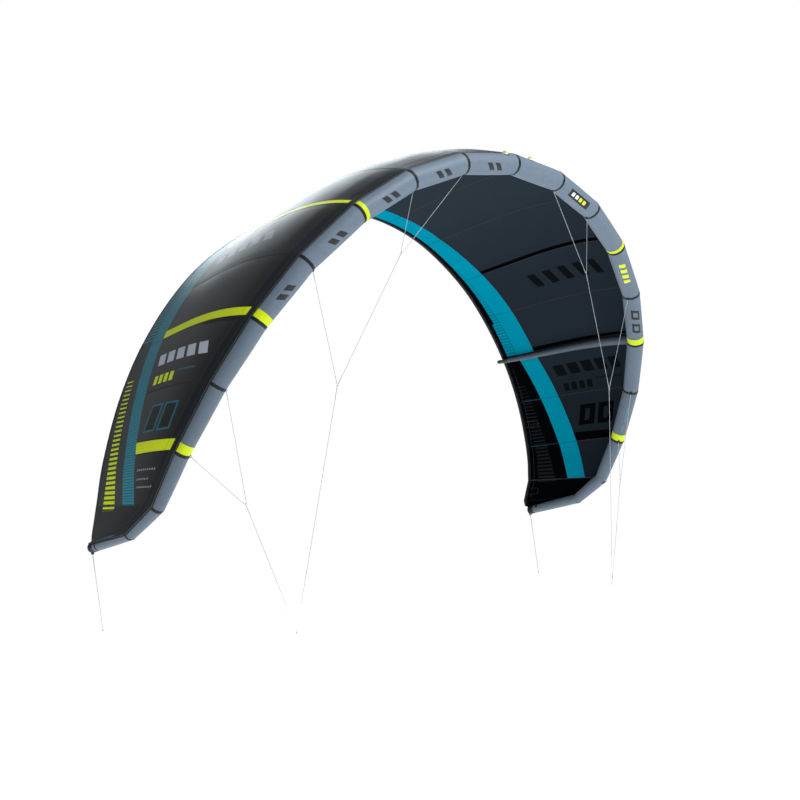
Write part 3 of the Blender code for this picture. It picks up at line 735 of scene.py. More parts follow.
def dacron(name, motif, painted_shade=1.0):
    """Heavy polyester cloth of the tubes, with plain blocks of print and painted shade."""
    # A factor below 1 darkens the whole cloth as painted shade.
    look = Look(name, [c * painted_shade for c in SLATE], 0.58)
    look.paint(look.noise(5.0, 2.0) * 0.4, [c * painted_shade * 0.93 for c in SLATE])
    if motif:
        # Painted shade: the leading edge sleeve darkens from station 1.5 to 7.5 towards the tips.
        look.paint(look.attribute("station").ramp(1.5, 7.5) * 0.9, [c * 0.66 for c in SLATE])
    u, v = look.uv("cloth")
    if motif:
        station, side = look.attribute("station"), look.attribute("wing")
        turn = look.attribute("turn")
        right, left = side.below(0.0), side.above(0.0)
        part = station.fraction() - 0.5
        across = turn + station * 0.13 - 2.10
        lean = part + across * 0.10
        pair = lean.far().inside(0.030, 0.125) * across.far().below(0.36)
        look.paint(pair * station.below(5.0) * right, (0.012, 0.013, 0.016))
        patch = part.far().below(0.26) * (turn - 2.22).far().below(0.42) * station.inside(1.0, 2.0) * left
        look.paint(patch, (0.005, 0.006, 0.012))
        marks = part.far().below(0.20) * (turn - 2.22).far().below(0.19) * station.inside(1.0, 2.0) * left
        marks = marks * (station * 10.0).fraction().below(0.66)
        look.paint(marks * station.below(1.5), (0.75, 0.77, 0.78))
        look.paint(marks * station.above(1.5), LIME)
        row = (part + 0.06).far().below(0.21) * (turn - 2.58).far().below(0.34)
        row = row * station.inside(3.0, 4.0) * left
        look.paint(row * (station * 9.0 + turn * 0.25).fraction().below(0.58), LIME)
        lean = part + (turn - 2.42) * 0.05
        pair = lean.far().inside(0.045, 0.23) * (turn - 2.42).far().below(0.50)
        hollow = (lean.far() - 0.137).far().below(0.045) * (turn - 2.42).far().below(0.26)
        look.paint(pair * (hollow.below(0.5)) * station.inside(4.0, 5.0) * left, (0.006, 0.006, 0.008))
        small = (turn - 2.40).far().below(0.05) * station.inside(6.30, 6.80)
        small = small * (station * 2.0 - 0.14).fraction().above(0.2)
        look.paint(small * (station * 60.0).fraction().below(0.6) * left, (0.02, 0.30, 0.40))
    weave = (u * 1900.0).wave() * (v * 1900.0).wave()
    mottle = look.noise(210.0, 3.0, 0.70)
    look.vary(mottle * 0.95 + look.noise(34.0, 2.0) * 0.35, 0.66, 1.30)
    look.bump(mottle, 0.0006, 0.25)
    look.bump(weave, 0.00006, 0.4)
    look.bump(look.noise(14.0, 2.0), 0.004, 0.05)
    look.rough(look.noise(40.0, 3.0) * 0.18 + 0.46)
    look.set("Sheen Weight", 0.05)
    look.set("Sheen Roughness", 0.5)
    look.set("Specular IOR Level", 0.34)
    return look.done()


def woven(name, rgb, roughness, scale=900.0, low=0.80, high=1.20):
    """Tape, webbing or printed cloth of one colour with a visible weave."""
    look = Look(name, rgb, roughness)
    grain = look.noise(scale, 2.0, 0.6)
    look.vary(grain * 0.7 + look.noise(45.0, 3.0) * 0.4, low, high)
    look.bump(grain, 0.0003, 0.35)
    look.rough(look.noise(70.0, 2.0) * 0.16 + (roughness - 0.08))
    look.set("Specular IOR Level", 0.25)
    return look.done()


def braided(name, rgb):
    """Braided line, with crossing strands along its length."""
    look = Look(name, rgb, 0.62)
    grain = look.noise(620.0, 2.0, 0.5, (1.0, 1.0, 0.35))
    look.vary(grain * 0.8 + look.noise(26.0, 2.0) * 0.3, 0.70, 1.28)
    look.bump(grain, 0.0006, 0.5)
    look.rough(look.noise(90.0, 2.0) * 0.2 + 0.52)
    return look.done()


def moulded(name, rgb, roughness, coat=0.0):
    """Moulded plastic with a fine grain and worn, shinier patches."""
    look = Look(name, rgb, roughness)
    grain = look.noise(1400.0, 2.0)
    look.vary(look.noise(60.0, 3.0), 0.86, 1.14)
    look.bump(grain, 0.0002, 0.25)
    look.rough(look.noise(34.0, 4.0) * 0.22 + (roughness - 0.11))
    look.set("Coat Weight", coat)
    look.set("Coat Roughness", 0.2)
    return look.done()


def film():
    """Thin milky film of the air bladders."""
    look = Look("bladder_film", (0.72, 0.76, 0.79), 0.32)
    look.vary(look.noise(14.0, 3.0), 0.90, 1.06)
    look.bump(look.noise(22.0, 3.0), 0.004, 0.25)
    look.rough(look.noise(30.0, 3.0) * 0.15 + 0.25)
    look.set("Transmission Weight", 0.25)
    return look.done()


def floor_look():
    """Plain pale floor that fades into the pale surroundings."""
    look = Look("floor", (0.90, 0.905, 0.91), 0.85)
    look.set("Emission Color", (1.0, 1.0, 1.0, 1.0))
    look.set("Emission Strength", 0.72)
    look.vary(look.noise(0.6, 2.0), 0.995, 1.005)
    place = look.tree.nodes.new("ShaderNodeNewGeometry")
    length = look.tree.nodes.new("ShaderNodeVectorMath")
    length.operation = "LENGTH"
    look.tree.links.new(place.outputs["Position"], length.inputs[0])
    clear = look.tree.nodes.new("ShaderNodeBsdfTransparent")
    mix = look.tree.nodes.new("ShaderNodeMixShader")
    far = Number(look.tree, length.outputs["Value"]).ramp(9.0, 26.0)
    output = look.tree.nodes["Material Output"]
    material = look.done()
    look.tree.links.new(far.socket, mix.inputs[0])
    look.tree.links.new(look.shader.outputs[0], mix.inputs[1])
    look.tree.links.new(clear.outputs[0], mix.inputs[2])
    look.tree.links.new(mix.outputs[0], output.inputs[0])
    return material


M = {
    "top": canopy_top(),
    "under": canopy_under(),
    "sleeve": dacron("dacron_leading_edge", True),
    # The strut's copy of the dacron is darkened to 0.48 of the sleeve's colour: painted shade.
    "dacron": dacron("dacron_strut", False, 0.48),
    "lime": woven("lime_cloth", (0.500, 0.620, 0.000), 0.50, 500.0, 0.90, 1.08),
    "black": woven("black_tape", (0.006, 0.007, 0.009), 0.58),
    "seam": woven("folded_seam", (0.013, 0.014, 0.016), 0.60),
    "thread": woven("thread", (0.30, 0.33, 0.36), 0.70),
    "dark_thread": woven("dark_thread", (0.060, 0.068, 0.078), 0.70),
    "webbing": woven("webbing", (0.010, 0.010, 0.012), 0.75, 500.0),
    "line": braided("bridle_line", (0.34, 0.37, 0.40)),
    "moulding": moulded("black_moulding", (0.012, 0.012, 0.014), 0.46),
    "valve": moulded("pale_moulding", (0.72, 0.75, 0.76), 0.38, 0.2),
    "lid": moulded("lime_moulding", (0.60, 0.74, 0.01), 0.36, 0.2),
    "film": film(),
}


# -------------------------------------------------------------------- camera

def add_camera():
    """The camera, low in front of the kite's right half and looking up at it."""
    yaw, pitch, roll = (math.radians(a) for a in (CAMERA_YAW, CAMERA_PITCH, CAMERA_ROLL))
    ahead = Vector((math.sin(yaw) * math.cos(pitch), math.cos(yaw) * math.cos(pitch), math.sin(pitch)))
    level = Vector((math.cos(yaw), -math.sin(yaw), 0.0))
    above = level.cross(ahead)
    right = level * math.cos(roll) + above * math.sin(roll)
    up = above * math.cos(roll) - level * math.sin(roll)
    data = bpy.data.cameras.new("camera")
    data.lens, data.sensor_width = CAMERA_LENS, CAMERA_SENSOR
    camera = bpy.data.objects.new("camera", data)
    camera.matrix_world = Matrix((
        (right.x, up.x, -ahead.x, CAMERA_PLACE.x),
        (right.y, up.y, -ahead.y, CAMERA_PLACE.y),
        (right.z, up.z, -ahead.z, CAMERA_PLACE.z),
        (0.0, 0.0, 0.0, 1.0),
    ))
    bpy.context.scene.collection.objects.link(camera)
    bpy.context.scene.camera = camera


# --------------------------------------------------------------------- lines

def straight(first, last, count):
    """Evenly spaced points from first to last."""
    return [first.lerp(last, n / (count - 1.0)) for n in range(count)]


def attachment(station, target):
    """Point on the sleeve's skin that faces a bridle fork."""
    centre = front_point(station)
    direction, along = target - centre, seam_direction(station)
    direction -= along * direction.dot(along)
    return centre + direction.normalized() * tube_radius(station)


def yoke_path(first, fork, last):
    """Route of a yoke line from one tab, round its fork and to the other tab."""
    apex = fork
    for _ in range(6):
        to_first, to_last = (first - apex).normalized(), (last - apex).normalized()
        middle = (to_first + to_last).normalized()
        half = to_first.angle(to_last) / 2.0
        apex = fork - middle * (YOKE_BEND / math.sin(half) - YOKE_BEND)
    centre, tangent = fork + middle * YOKE_BEND, YOKE_BEND / math.tan(half)
    from_point, to_point = apex + to_first * tangent, apex + to_last * tangent
    arm_from, arm_to = (from_point - centre).normalized(), (to_point - centre).normalized()
    bend = [centre + arm_from.slerp(arm_to, n / 12.0) * YOKE_BEND for n in range(1, 12)]
    start, end = first - to_first * STANDOFF, last - to_last * STANDOFF
    return straight(start, from_point, 6) + bend + straight(to_point, end, 6)


def path_length(path):
    """Length of a path of points."""
    return sum((b - a).length for a, b in zip(path, path[1:]))


def add_cord(name, path, diameter, side, body, node):
    """Adds one bridle line as a curve; its length is worked out but not kept."""
    curve = bpy.data.curves.new(name, "CURVE")
    curve.dimensions, curve.bevel_depth = "3D", diameter / 2.0
    curve.bevel_resolution, curve.use_fill_caps = 3, True
    spline = curve.splines.new("POLY")
    spline.points.add(len(path) - 1)
    places = [mirrored(p, side) for p in path]
    for point, place in zip(spline.points, places):
        point.co = (*place, 1.0)
    curve.materials.append(M["line"])
    obj = bpy.data.objects.new(name, curve)
    bpy.context.scene.collection.objects.link(obj)
    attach(obj, body)
    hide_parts(node)
    round(path_length(path), 3)
    return obj


def add_splices(name, paths, diameter, side, body, length=0.055):
    """Adds the tapered splice sleeves at the ends of a line."""
    pile = Pile()
    for path in paths:
        start, towards = path
        direction = (towards - start).normalized()
        steps = ((0.0, 0.62), (0.002, 0.72), (0.020, 0.72), (length * 0.8, 0.66), (length, 0.50))
        points = [mirrored(start + direction * d, side) for d, _ in steps]
        pile.tube(points, [diameter * r for _, r in steps], 12, (0.3, 1.0, 0.2))
    return pile.build(name, [M["line"]], body, "line")


def line_ends(path, direction, near, far):
    """The two ends of a straight line, each with the point that its splice runs towards."""
    return (path[0] + direction * near, path[1]), (path[-1] - direction * far, path[-2])


def add_loop(name, pivot, direction, normal, side, body, node):
    """Adds the larks-head loop that ties a line to the bend of a yoke."""
    reach = RING_RADIUS - 2.0 * RING_WIRE - RING_PLAY
    centre = pivot + direction * reach
    pile = Pile()
    flow, facing = mirrored(direction, side), mirrored(normal, side)
    pile.ring(mirrored(centre, side), RING_RADIUS, RING_WIRE, facing, flow)
    foot = centre + direction * (RING_RADIUS + RING_WIRE)
    for turn in range(4):
        middle = foot + direction * (0.0022 + 0.0017 * turn)
        pile.ring(mirrored(middle, side), 0.0019, 0.0009, flow, facing, 16, 8)
    obj = pile.build(name, [M["line"]], body, "line")
    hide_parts(node)
    return obj, foot


def knot_points(centre, axis, radius, length, turns):
    """Centre line of the turns of a barrel knot."""
    side = axis.orthogonal().normalized()
    other = axis.cross(side)
    points = []
    for n in range(int(turns * 14) + 1):
        angle = 2 * math.pi * n / 14
        share = n / (turns * 14.0)
        swell = radius * (0.82 + 0.18 * math.sin(math.pi * share))
        round_axis = side * math.cos(angle) + other * math.sin(angle)
        points.append(centre + axis * (length * share) + round_axis * swell)
    return points


def add_knot(name, start, axis, side, body, node, length, radius):
    """Adds a stopper knot: a core with wraps of line round it."""
    pile = Pile()
    core = [mirrored(start + axis * (length * t), side) for t in (0.0, 0.08, 0.92, 1.0)]
    pile.tube(core, [radius * 0.62, radius * 0.74, radius * 0.74, radius * 0.62], 14, (0.2, 1.0, 0.1))
    wraps = knot_points(start + axis * (length * 0.12), axis, radius * 0.72, length * 0.76, 3.5)
    wraps = [mirrored(p, side) for p in wraps]
    pile.tube(wraps, [radius * 0.27] * len(wraps), 8, mirrored(axis, side))
    obj = pile.build(name, [M["line"]], body, "line")
    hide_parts(node)
    return obj


def add_tab(pile, patch, station, target, side):
    """Adds the sewn webbing tab that one end of a bridle line passes through."""
    point, centre = attachment(station, target), front_point(station)
    out, along = (point - centre).normalized(), seam_direction(station)
    wide = out.cross(along)
    arch = []
    for n in range(13):
        turn = math.pi * n / 12.0
        arch.append(point + along * (TAB_REACH * math.cos(turn)) + out * (TAB_RISE * math.sin(turn) - 0.0015))
    pile.slab(*([[mirrored(p + wide * w + (p - point - out * 0.003).normalized() * half, side)
                  for w in (-TAB_HALF_WIDTH, TAB_HALF_WIDTH)] for p in arch]
                for half in (WEBBING_HALF, -WEBBING_HALF)))
    top, bottom = [], []
    edges = (-PATCH_HALF_WIDTH, PATCH_HALF_WIDTH)
    for share in (-1.0, -0.5, 0.0, 0.5, 1.0):
        place = point + along * (PATCH_HALF_LENGTH * share)
        top.append([mirrored(place + wide * w + out * 0.0012, side) for w in edges])
        bottom.append([mirrored(place + wide * w - out * 0.0030, side) for w in edges])
    patch.slab(top, bottom)


def add_bridle(side, name):
    """Adds the front bridle of one half, line by line, on the bodies that carry it."""
    forks = {"tip": (TIP_FORK, TIP_YOKE), "crown": (CROWN_FORK, CROWN_YOKE)}
    below = {"tip": ("lower_main", FRONT_LINE_END, OPEN_GAP), "crown": ("crown_link", MAIN_FORK, KNOT + GAP)}
    for label, (fork, (far, near)) in forks.items():
        first, last = attachment(far, fork), attachment(near, fork)
        body = f"{name}_{label}_yoke_body"
        path = yoke_path(first, fork, last)
        splices = add_splices(f"{name}_{label}_yoke_splices", ((path[1].lerp(path[0], 0.94), path[1]),
                              (path[-2].lerp(path[-1], 0.94), path[-2])), LINE, side, body)
        add_cord(f"{name}_{label}_yoke_cord", path, LINE, side, body, f"{name}_{label}_yoke")
        plane = (first - fork).cross(last - fork).normalized()
        lower, target, stop = below[label]
        direction = (target - fork).normalized()
        tangent = direction.cross(plane).normalized()
        body = f"{name}_{lower}_body"
        loop, foot = add_loop(f"{name}_{label}_yoke_larks_head", fork, direction, tangent, side, body,
                              f"{name}_{label}_yoke_loop")
        path = straight(foot + direction * GAP, target - direction * stop, 9)
        splices = add_splices(f"{name}_{lower}_splices", line_ends(path, direction, 0.010, 0.002),
                              LINE, side, body)
        add_cord(f"{name}_{lower}_cord", path, LINE, side, body, f"{name}_{lower}_line")

    top = attachment(MIDDLE_LEG, MAIN_FORK)
    direction, body = (MAIN_FORK - top).normalized(), f"{name}_middle_leg_body"
    path = straight(top + direction * STANDOFF, MAIN_FORK - direction * OPEN_GAP, 8)
    splices = add_splices(f"{name}_middle_leg_splices", line_ends(path, direction, 0.002, 0.002),
                          LINE, side, body)
    add_cord(f"{name}_middle_leg_cord", path, LINE, side, body, f"{name}_middle_leg_line")

    direction, body = (FRONT_LINE_END - MAIN_FORK).normalized(), f"{name}_upper_main_body"
    fork_knot = add_knot(f"{name}_main_fork_turns", MAIN_FORK - direction * 0.0036, direction, side, body,
                         f"{name}_main_fork_knot", 0.0082, 0.0050)
    path = straight(MAIN_FORK + direction * (KNOT + GAP), FRONT_LINE_END, 10)
    splices = add_splices(f"{name}_upper_main_splices", line_ends(path, direction, 0.002, 0.001),
                          LINE, side, body, 0.08)
    end = add_knot(f"{name}_front_pigtail_knot", FRONT_LINE_END + direction * GAP, direction, side, body,
                   f"{name}_front_line_knot", 0.0145, 0.0055)
    add_cord(f"{name}_upper_main_cord", path, LINE, side, body, f"{name}_upper_main_line")

    tabs, patches = Pile(), Pile()
    for label, (fork, stations) in forks.items():
        for station in stations:
            add_tab(tabs, patches, station, fork, side)
    add_tab(tabs, patches, MIDDLE_LEG, MAIN_FORK, side)
    tabs.build(f"{name}_bridle_tabs", [M["webbing"]], "root", "webbing")
    patches.build(f"{name}_bridle_tab_patches", [M["black"]], "root", "webbing")


def add_rear_pigtail(side, name):
    """Adds the tip's webbing loop and the rear pigtail that is hitched to it."""
    direction, down = seam_direction(LAST), Vector((0.0, 0.0, -1.0))
    anchor = front_point(LAST) - direction * 0.006 + down * (tube_radius(LAST) + 0.006)
    pile = Pile()
    across = direction.cross(down).normalized()
    arch = []
    for n in range(17):
        turn = math.pi * n / 16.0
        arch.append(anchor - down * 0.006 + direction * (0.0085 * math.cos(turn))
                    + down * (0.0125 * math.sin(turn)))
    centre = anchor
    rows = [[(p, (p - centre).normalized(), w) for w in (-0.006, 0.006)] for p in arch]
    pile.slab([[mirrored(p + across * w + n * 0.0008, side) for p, n, w in row] for row in rows],
              [[mirrored(p + across * w - n * 0.0008, side) for p, n, w in row] for row in rows])
    loop = pile.build(f"{name}_tip_webbing_loop", [M["webbing"]], "root", "webbing")
    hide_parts(f"{name}_tip_loop")

    pivot = anchor + down * 0.009
    body = f"{name}_rear_pigtail_body"
    line = (REAR_LINE_END - pivot).normalized()
    pile = Pile()
    for turn in range(5):
        pile.ring(mirrored(pivot + line * (0.006 + 0.0019 * turn), side), 0.0022, 0.0010,
                  mirrored(line, side), mirrored(across, side), 16, 8)
    hitch = pile.build(f"{name}_rear_pigtail_hitch", [M["line"]], body, "line")
    path = straight(pivot, REAR_LINE_END, 8)
    splices = add_splices(f"{name}_rear_pigtail_splices", line_ends(path, line, 0.016, 0.001),
                          PIGTAIL, side, body, 0.09)
    end = add_knot(f"{name}_rear_pigtail_knot", REAR_LINE_END + line * GAP, line, side, body,
                   f"{name}_rear_line_knot", 0.0145, 0.0055)
    add_cord(f"{name}_rear_pigtail_cord", path, PIGTAIL, side, body, f"{name}_rear_pigtail_line")


# -------------------------------------------------------------------- canopy

def set_field(mesh, name, values):
    """Stores one number for each vertex, for the material to read."""
    field = mesh.attributes.new(name, "FLOAT", "POINT")
    field.data.foreach_set("value", np.ascontiguousarray(values, np.float32).ravel())


def set_uv(mesh, u, v):
    """Stores a cloth map in metres from two numbers for each vertex."""
    layer = mesh.uv_layers.new(name="cloth")
    loops = np.zeros(len(mesh.loops), np.int32)
    mesh.loops.foreach_get("vertex_index", loops)
    uv = np.stack([np.asarray(u).ravel()[loops], np.asarray(v).ravel()[loops]], axis=1)
    layer.data.foreach_set("uv", uv.astype(np.float32).ravel())


def add_canopy():
    """Adds the canopy: one continuous thin sheet with an outer and an inner face."""
    half = CLOTH_NORMAL * (CLOTH_THICKNESS / 2.0)
    pile = Pile()
    pile.slab((CLOTH + half).tolist(), (CLOTH - half).tolist())
    quads = (len(STATIONS) - 1) * (len(CHORD) - 1)
    slots = [0, 1] * quads + [0] * (len(pile.faces) - 2 * quads)
    obj = add_object("canopy", pile.points, pile.faces, [M["top"], M["under"]], slots)
    face_outwards(obj)

    span = np.abs(STATIONS)
    middle = LAST * SPAN_STEPS
    across = np.abs(FROM_TIP - FROM_TIP[middle])
    edge = FROM_TIP[:, -1]
    along = np.minimum(edge, edge[-1] - edge)
    low = np.interp(span, (5.65, 7.2, 8.3), (0.030, 0.088, 0.092))
    high = np.interp(span, (5.65, 8.25), (0.110, 0.272))
    fields = {
        "station": np.repeat(span[:, None], len(CHORD), 1),
        "front": FROM_FRONT,
        "rear": FROM_REAR,
        "along": np.repeat(along[:, None], len(CHORD), 1),
        "band": np.interp(span, range(LAST + 1), BAND_INNER)[:, None] - FROM_REAR,
        "side": (FROM_REAR - low[:, None]) / (high - low)[:, None],
    }
    for station, _, _ in STRIPES:
        right, left = across[middle - station * SPAN_STEPS], across[middle + station * SPAN_STEPS]
        line = np.where((STATIONS < 0)[:, None], right[None, :], left[None, :])
        fields[f"gap{station}"] = line - across
    for name, values in fields.items():
        set_field(obj.data, name, np.concatenate([values.ravel(), values.ravel()]))
    u, v = FROM_TIP.ravel(), FROM_FRONT.ravel()
    set_uv(obj.data, np.concatenate([u, u]), np.concatenate([v, v]))
    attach(obj, "root")
    sections = ("centre", "inner", "outer", "tip")
    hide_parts(*(f"{name}_canopy_{s}" for name, _ in SIDES for s in sections))
    return obj


def chord_step(station, part):
    """Chord step, 0 to 1, of the cloth at a part of a station's chord."""
    last = 1.0 - (HEM_DEPTH * 0.5) / station_frame(station)[1]
    share = min(1.0, max(0.0, (part - 0.006) / (last - 0.006)))
    return share ** (1.0 / 1.35)


def add_hem():
    """Adds the folded tape that closes the trailing edge."""
    pile = Pile()
    top, bottom = [], []
    for s in STATIONS:
        edge, normal = cloth_at(s, 1.0, 0.0)
        back = (edge - cloth_at(s, 0.985, 0.0)[0]).normalized()
        thin = HEM_THICKNESS * (0.36 if abs(s) < 9.9 else 0.25)
        shape = ((-0.009, 0.30), (-0.0075, 0.85), (0.004, 1.0), (0.0062, 0.62), (0.0068, 0.0))
        top.append([edge + back * d + normal * (thin * h) for d, h in shape])
        bottom.append([edge + back * d - normal * (thin * h) for d, h in shape])
    top = [row + [b for b in reversed(under)] for row, under in zip(top, bottom)]
    pile.add([p for row in top for p in row], ring_faces(len(top), len(top[0])))
    obj = pile.build("trailing_edge_tape", [M["black"]], "root", "hem")
    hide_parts("right_trailing_edge_hem", "left_trailing_edge_hem")
    return obj


def add_seam_tapes():
    """Adds the folded seams that join the canopy's panels, on both faces."""
    above, below = Pile(), Pile()
    for number in range(-9, 10):
        width = 0.0030 / (PANELS[min(abs(number), LAST - 1)])
        first = step_for(number, 0.030, False)
        last = step_for(number, BAND_INNER[abs(number)], True) if abs(number) < 8 else 0.995
        for sign, pile in ((1, above), (-1, below)):
            steps = [first + (last - first) * n / 44.0 for n in range(45)]
            low, high = sign * (CLOTH_THICKNESS / 2.0), sign * (CLOTH_THICKNESS / 2.0 + 0.0005)
            top = [[cloth_at(number + w, t, high)[0] for w in (-width, width)] for t in steps]
            bottom = [[cloth_at(number + w, t, low)[0] for w in (-width, width)] for t in steps]
            pile.slab(top, bottom)
    return [above.build("outer_panel_seams", [M["seam"]], "root", "ripstop"),
            below.build("inner_panel_seams", [M["black"]], "root", "ripstop")]


def stitch(pile, a, b, normal, width=0.0016, height=0.0007):
    """Adds one raised stitch of thread from a to b."""
    across = (b - a).cross(normal).normalized() * (width / 2.0)
    ends = (a, a.lerp(b, 0.25), a.lerp(b, 0.75), b)
    rise = (0.15, 1.0, 1.0, 0.15)
    top = [[p - across * 0.7 + normal * height * h, p + across * 0.7 + normal * height * h]
           for p, h in zip(ends, rise)]
    bottom = [[p - across - normal * 0.0001, p + across - normal * 0.0001] for p in ends]
    pile.slab(top, bottom)


def stitch_cloth(pile, track, lift, pitch=0.012, length=0.007):
    """Sews a row of stitches over the canopy along (station, step) points."""
    sign = 1.0 if lift > 0 else -1.0
    points = [cloth_at(s, t, lift) for s, t in track]
    run = [0.0]
    for (a, _), (b, _) in zip(points, points[1:]):
        run.append(run[-1] + (b - a).length)
    table = np.array([tuple(p) for p, _ in points])
    normals = np.array([tuple(n) for _, n in points])

    def at(d, rows):
        return Vector([float(np.interp(d, run, rows[:, k])) for k in range(3)])

    distance = pitch / 2
    while distance + length < run[-1]:
        up = at(distance, normals).normalized() * sign
        stitch(pile, at(distance, table), at(distance + length, table), up)
        distance += pitch


def add_stitching():
    """Sews the canopy: along the leading edge, the seams of the tips and the hem."""
    dull = Pile()
    face = CLOTH_THICKNESS / 2.0 + 0.0001
    inner = [s for s in STATIONS if abs(s) <= 9.6]
    for metres in (0.020, 0.078):
        stitch_cloth(dull, [(s, step_for(s, metres, False)) for s in inner], face)
    for metres in (0.012, 0.020):
        stitch_cloth(dull, [(s, step_for(s, metres, True)) for s in inner], face)
        stitch_cloth(dull, [(s, step_for(s, metres, True)) for s in inner], -face)
    for sign in (-1, 1):
        outer = [s for s in STATIONS if 5.15 <= s * sign <= 8.9]
        stitch_cloth(dull, [(s, step_for(s, 0.056, True)) for s in outer], -face)
        stitch_cloth(dull, [(s, step_for(s, 0.070, True)) for s in STATIONS if 8.0 <= s * sign <= 9.2], face)
        for side in (face, -face):
            row = [(8.02 * sign, step_for(8 * sign, m / 100.0, True)) for m in range(2, 70, 2)]
            stitch_cloth(dull, row, side)
            for station in (6.015, 7.015):
                row = [(station * sign, step_for(round(station) * sign, m / 100.0, True))
                       for m in range(2, 24, 2)]
                stitch_cloth(dull, row, side)
            for station, reach, width in ((6.50, 0.150, 0.055), (8.55, 0.11, 0.16)):
                row = []
                for n in range(25):
                    turn = math.pi * n / 24.0
                    depth = 0.02 + (reach - 0.02) * min(1.0, 1.6 * math.sin(turn))
                    s = (station + width * math.cos(turn)) * sign
                    row.append((s, step_for(s, depth, True)))
                stitch_cloth(dull, row, side, 0.009, 0.006)
    dull.build("canopy_stitches", [M["dark_thread"]], "root", "ripstop")


# ------------------------------------------------------------- tubes and caps

RUN = [0.0]
for panel in PANELS:
    RUN.append(RUN[-1] + panel)
AROUND = 56


def add_shell(name, rings, wall_rings, look, uv, smooth_angle=50.0):
    """Adds a thin-walled tube that is closed at both ends, from its rings of points."""
    points, faces = [], []
    for rows in (rings, wall_rings):
        start, sides = len(points), len(rows[0])
        points += [p for ring in rows for p in ring]
        for r in range(len(rows) - 1):
            for k in range(sides):
                m = (k + 1) % sides
                a, b = start + r * sides + k, start + r * sides + m
                faces.append((a, b, b + sides, a + sides))
        faces.append(tuple(start + k for k in range(sides)))
        faces.append(tuple(start + (len(rows) - 1) * sides + k for k in range(sides)))
    obj = add_object(name, points, faces, [look], None, smooth_angle)
    face_outwards(obj)
    set_uv(obj.data, np.tile(uv[0].ravel(), 2), np.tile(uv[1].ravel(), 2))
    return obj


def add_leading_edge():
    """Adds the sewn leading edge sleeve as one long tube of straight panels."""
    shares = (0.0, 0.03, 0.07, 0.12, 0.20, 0.30, 0.42, 0.54, 0.66, 0.77, 0.86, 0.92, 0.96)
    half = [i + q for i in range(LAST) for q in shares] + [float(LAST)]
    half += [LAST + math.radians(a) for a in (20, 38, 54, 68, 79, 86)]
    places = [(s, -1) for s in reversed(half[1:])] + [(s, 1) for s in half]
    angles = [2 * math.pi * k / AROUND for k in range(AROUND)]
    outer = [[tube_point(s, a, 0.0, side) for a in angles] for s, side in places]
    inner = [[tube_point(s, a, -0.0012, side) for a in angles] for s, side in places]
    run = np.array([side * np.interp(s, range(LAST + 1), RUN) for s, side in places])
    u = np.repeat(run[:, None], AROUND, 1)
    v = np.tile(np.array(angles)[None, :] * 0.06, (len(places), 1))
    obj = add_shell("leading_edge_sleeve", outer, inner, M["sleeve"], (u, v))
    signed = [a - 2 * math.pi if a > math.pi else a for a in angles]
    turn = np.tile(np.array(signed)[None, :], (len(places), 1))
    station = np.repeat(np.array([min(s, 10.0) for s, _ in places])[:, None], AROUND, 1)
    wing = np.repeat(np.array([float(side) for _, side in places])[:, None], AROUND, 1)
    for name, values in (("turn", turn), ("station", station), ("wing", wing)):
        set_field(obj.data, name, np.concatenate([values.ravel(), values.ravel()]))
    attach(obj, "root")
    sections = ("centre", "inner", "outer", "tip")
    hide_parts(*(f"{name}_leading_edge_{s}" for name, _ in SIDES for s in sections))
    return obj


def band_on_tube(pile, stops, side, lift, arc=None):
    """Adds a band round the tube through station numbers, all round or along an arc."""
    if arc is None:
        angles = [2 * math.pi * k / AROUND for k in range(AROUND)]
    else:
        angles = [arc[0] + (arc[1] - arc[0]) * k / 36.0 for k in range(37)]
    top = [[tube_point(s, a, lift * (0.45 if n in (0, len(stops) - 1) else 1.0), side) for a in angles]
           for n, s in enumerate(stops)]
    bottom = [[tube_point(s, a, -0.0004, side) for a in angles] for s in stops]
    pile.slab(top, bottom, wrap=arc is None)


def add_bands():
    """Adds the black seam bands, the lime bands beside three of them and the tip covers."""
    black, lime, covers = Pile(), Pile(), Pile()
    for _, side in SIDES:
        for station in range(1 if side < 0 else 0, LAST):
            a, b = station_at(station, -SEAM_BAND * 0.25), station_at(station, SEAM_BAND * 0.75)
            if station == 0:
                a, b = 0.0, station_at(0, SEAM_BAND * 0.5)
                band_on_tube(black, [0.0, b * 0.9, b], -1, 0.0010)
            arc = None if station < 8 else (-1.9, 2.2)
            stops = [a, a + (station - a) * 0.3, float(station), station + (b - station) * 0.9, b]
            band_on_tube(black, stops if station else [0.0, b * 0.9, b], side, 0.0010, arc)
        extra = station_at(LAST, -0.100)
        band_on_tube(black, [extra, extra + 0.004, extra + 0.034, extra + 0.038], side, 0.0009, (-1.9, 2.2))
        for station, _, width in STRIPES:
            a, b = station_at(station, -width - SEAM_BAND * 0.25), station_at(station, -SEAM_BAND * 0.25)
            step = (b - a) / 8.0
            stops = [a, a + 0.2 * step] + [a + step * n for n in range(1, 8)] + [b - 0.2 * step, b]
            band_on_tube(lime, stops, side, 0.0007)
        start = station_at(LAST, -0.050)
        stops = [start, start + 0.006, start + 0.03, float(LAST)]
        stops += [LAST + math.radians(a) for a in (18, 36, 52, 66, 78, 86)]
        angles = [2 * math.pi * k / AROUND for k in range(AROUND)]
        rows = [[tube_point(s, a, 0.0016, side) for a in angles] for s in stops]
        covers.add([p for row in rows for p in row], ring_faces(len(rows), AROUND))
    black.build("leading_edge_seam_bands", [M["black"]], "root", "webbing")
    lime.build("leading_edge_lime_bands", [M["lime"]], "root", "dacron")
    covers.build("tip_covers", [M["black"]], "root", "webbing")


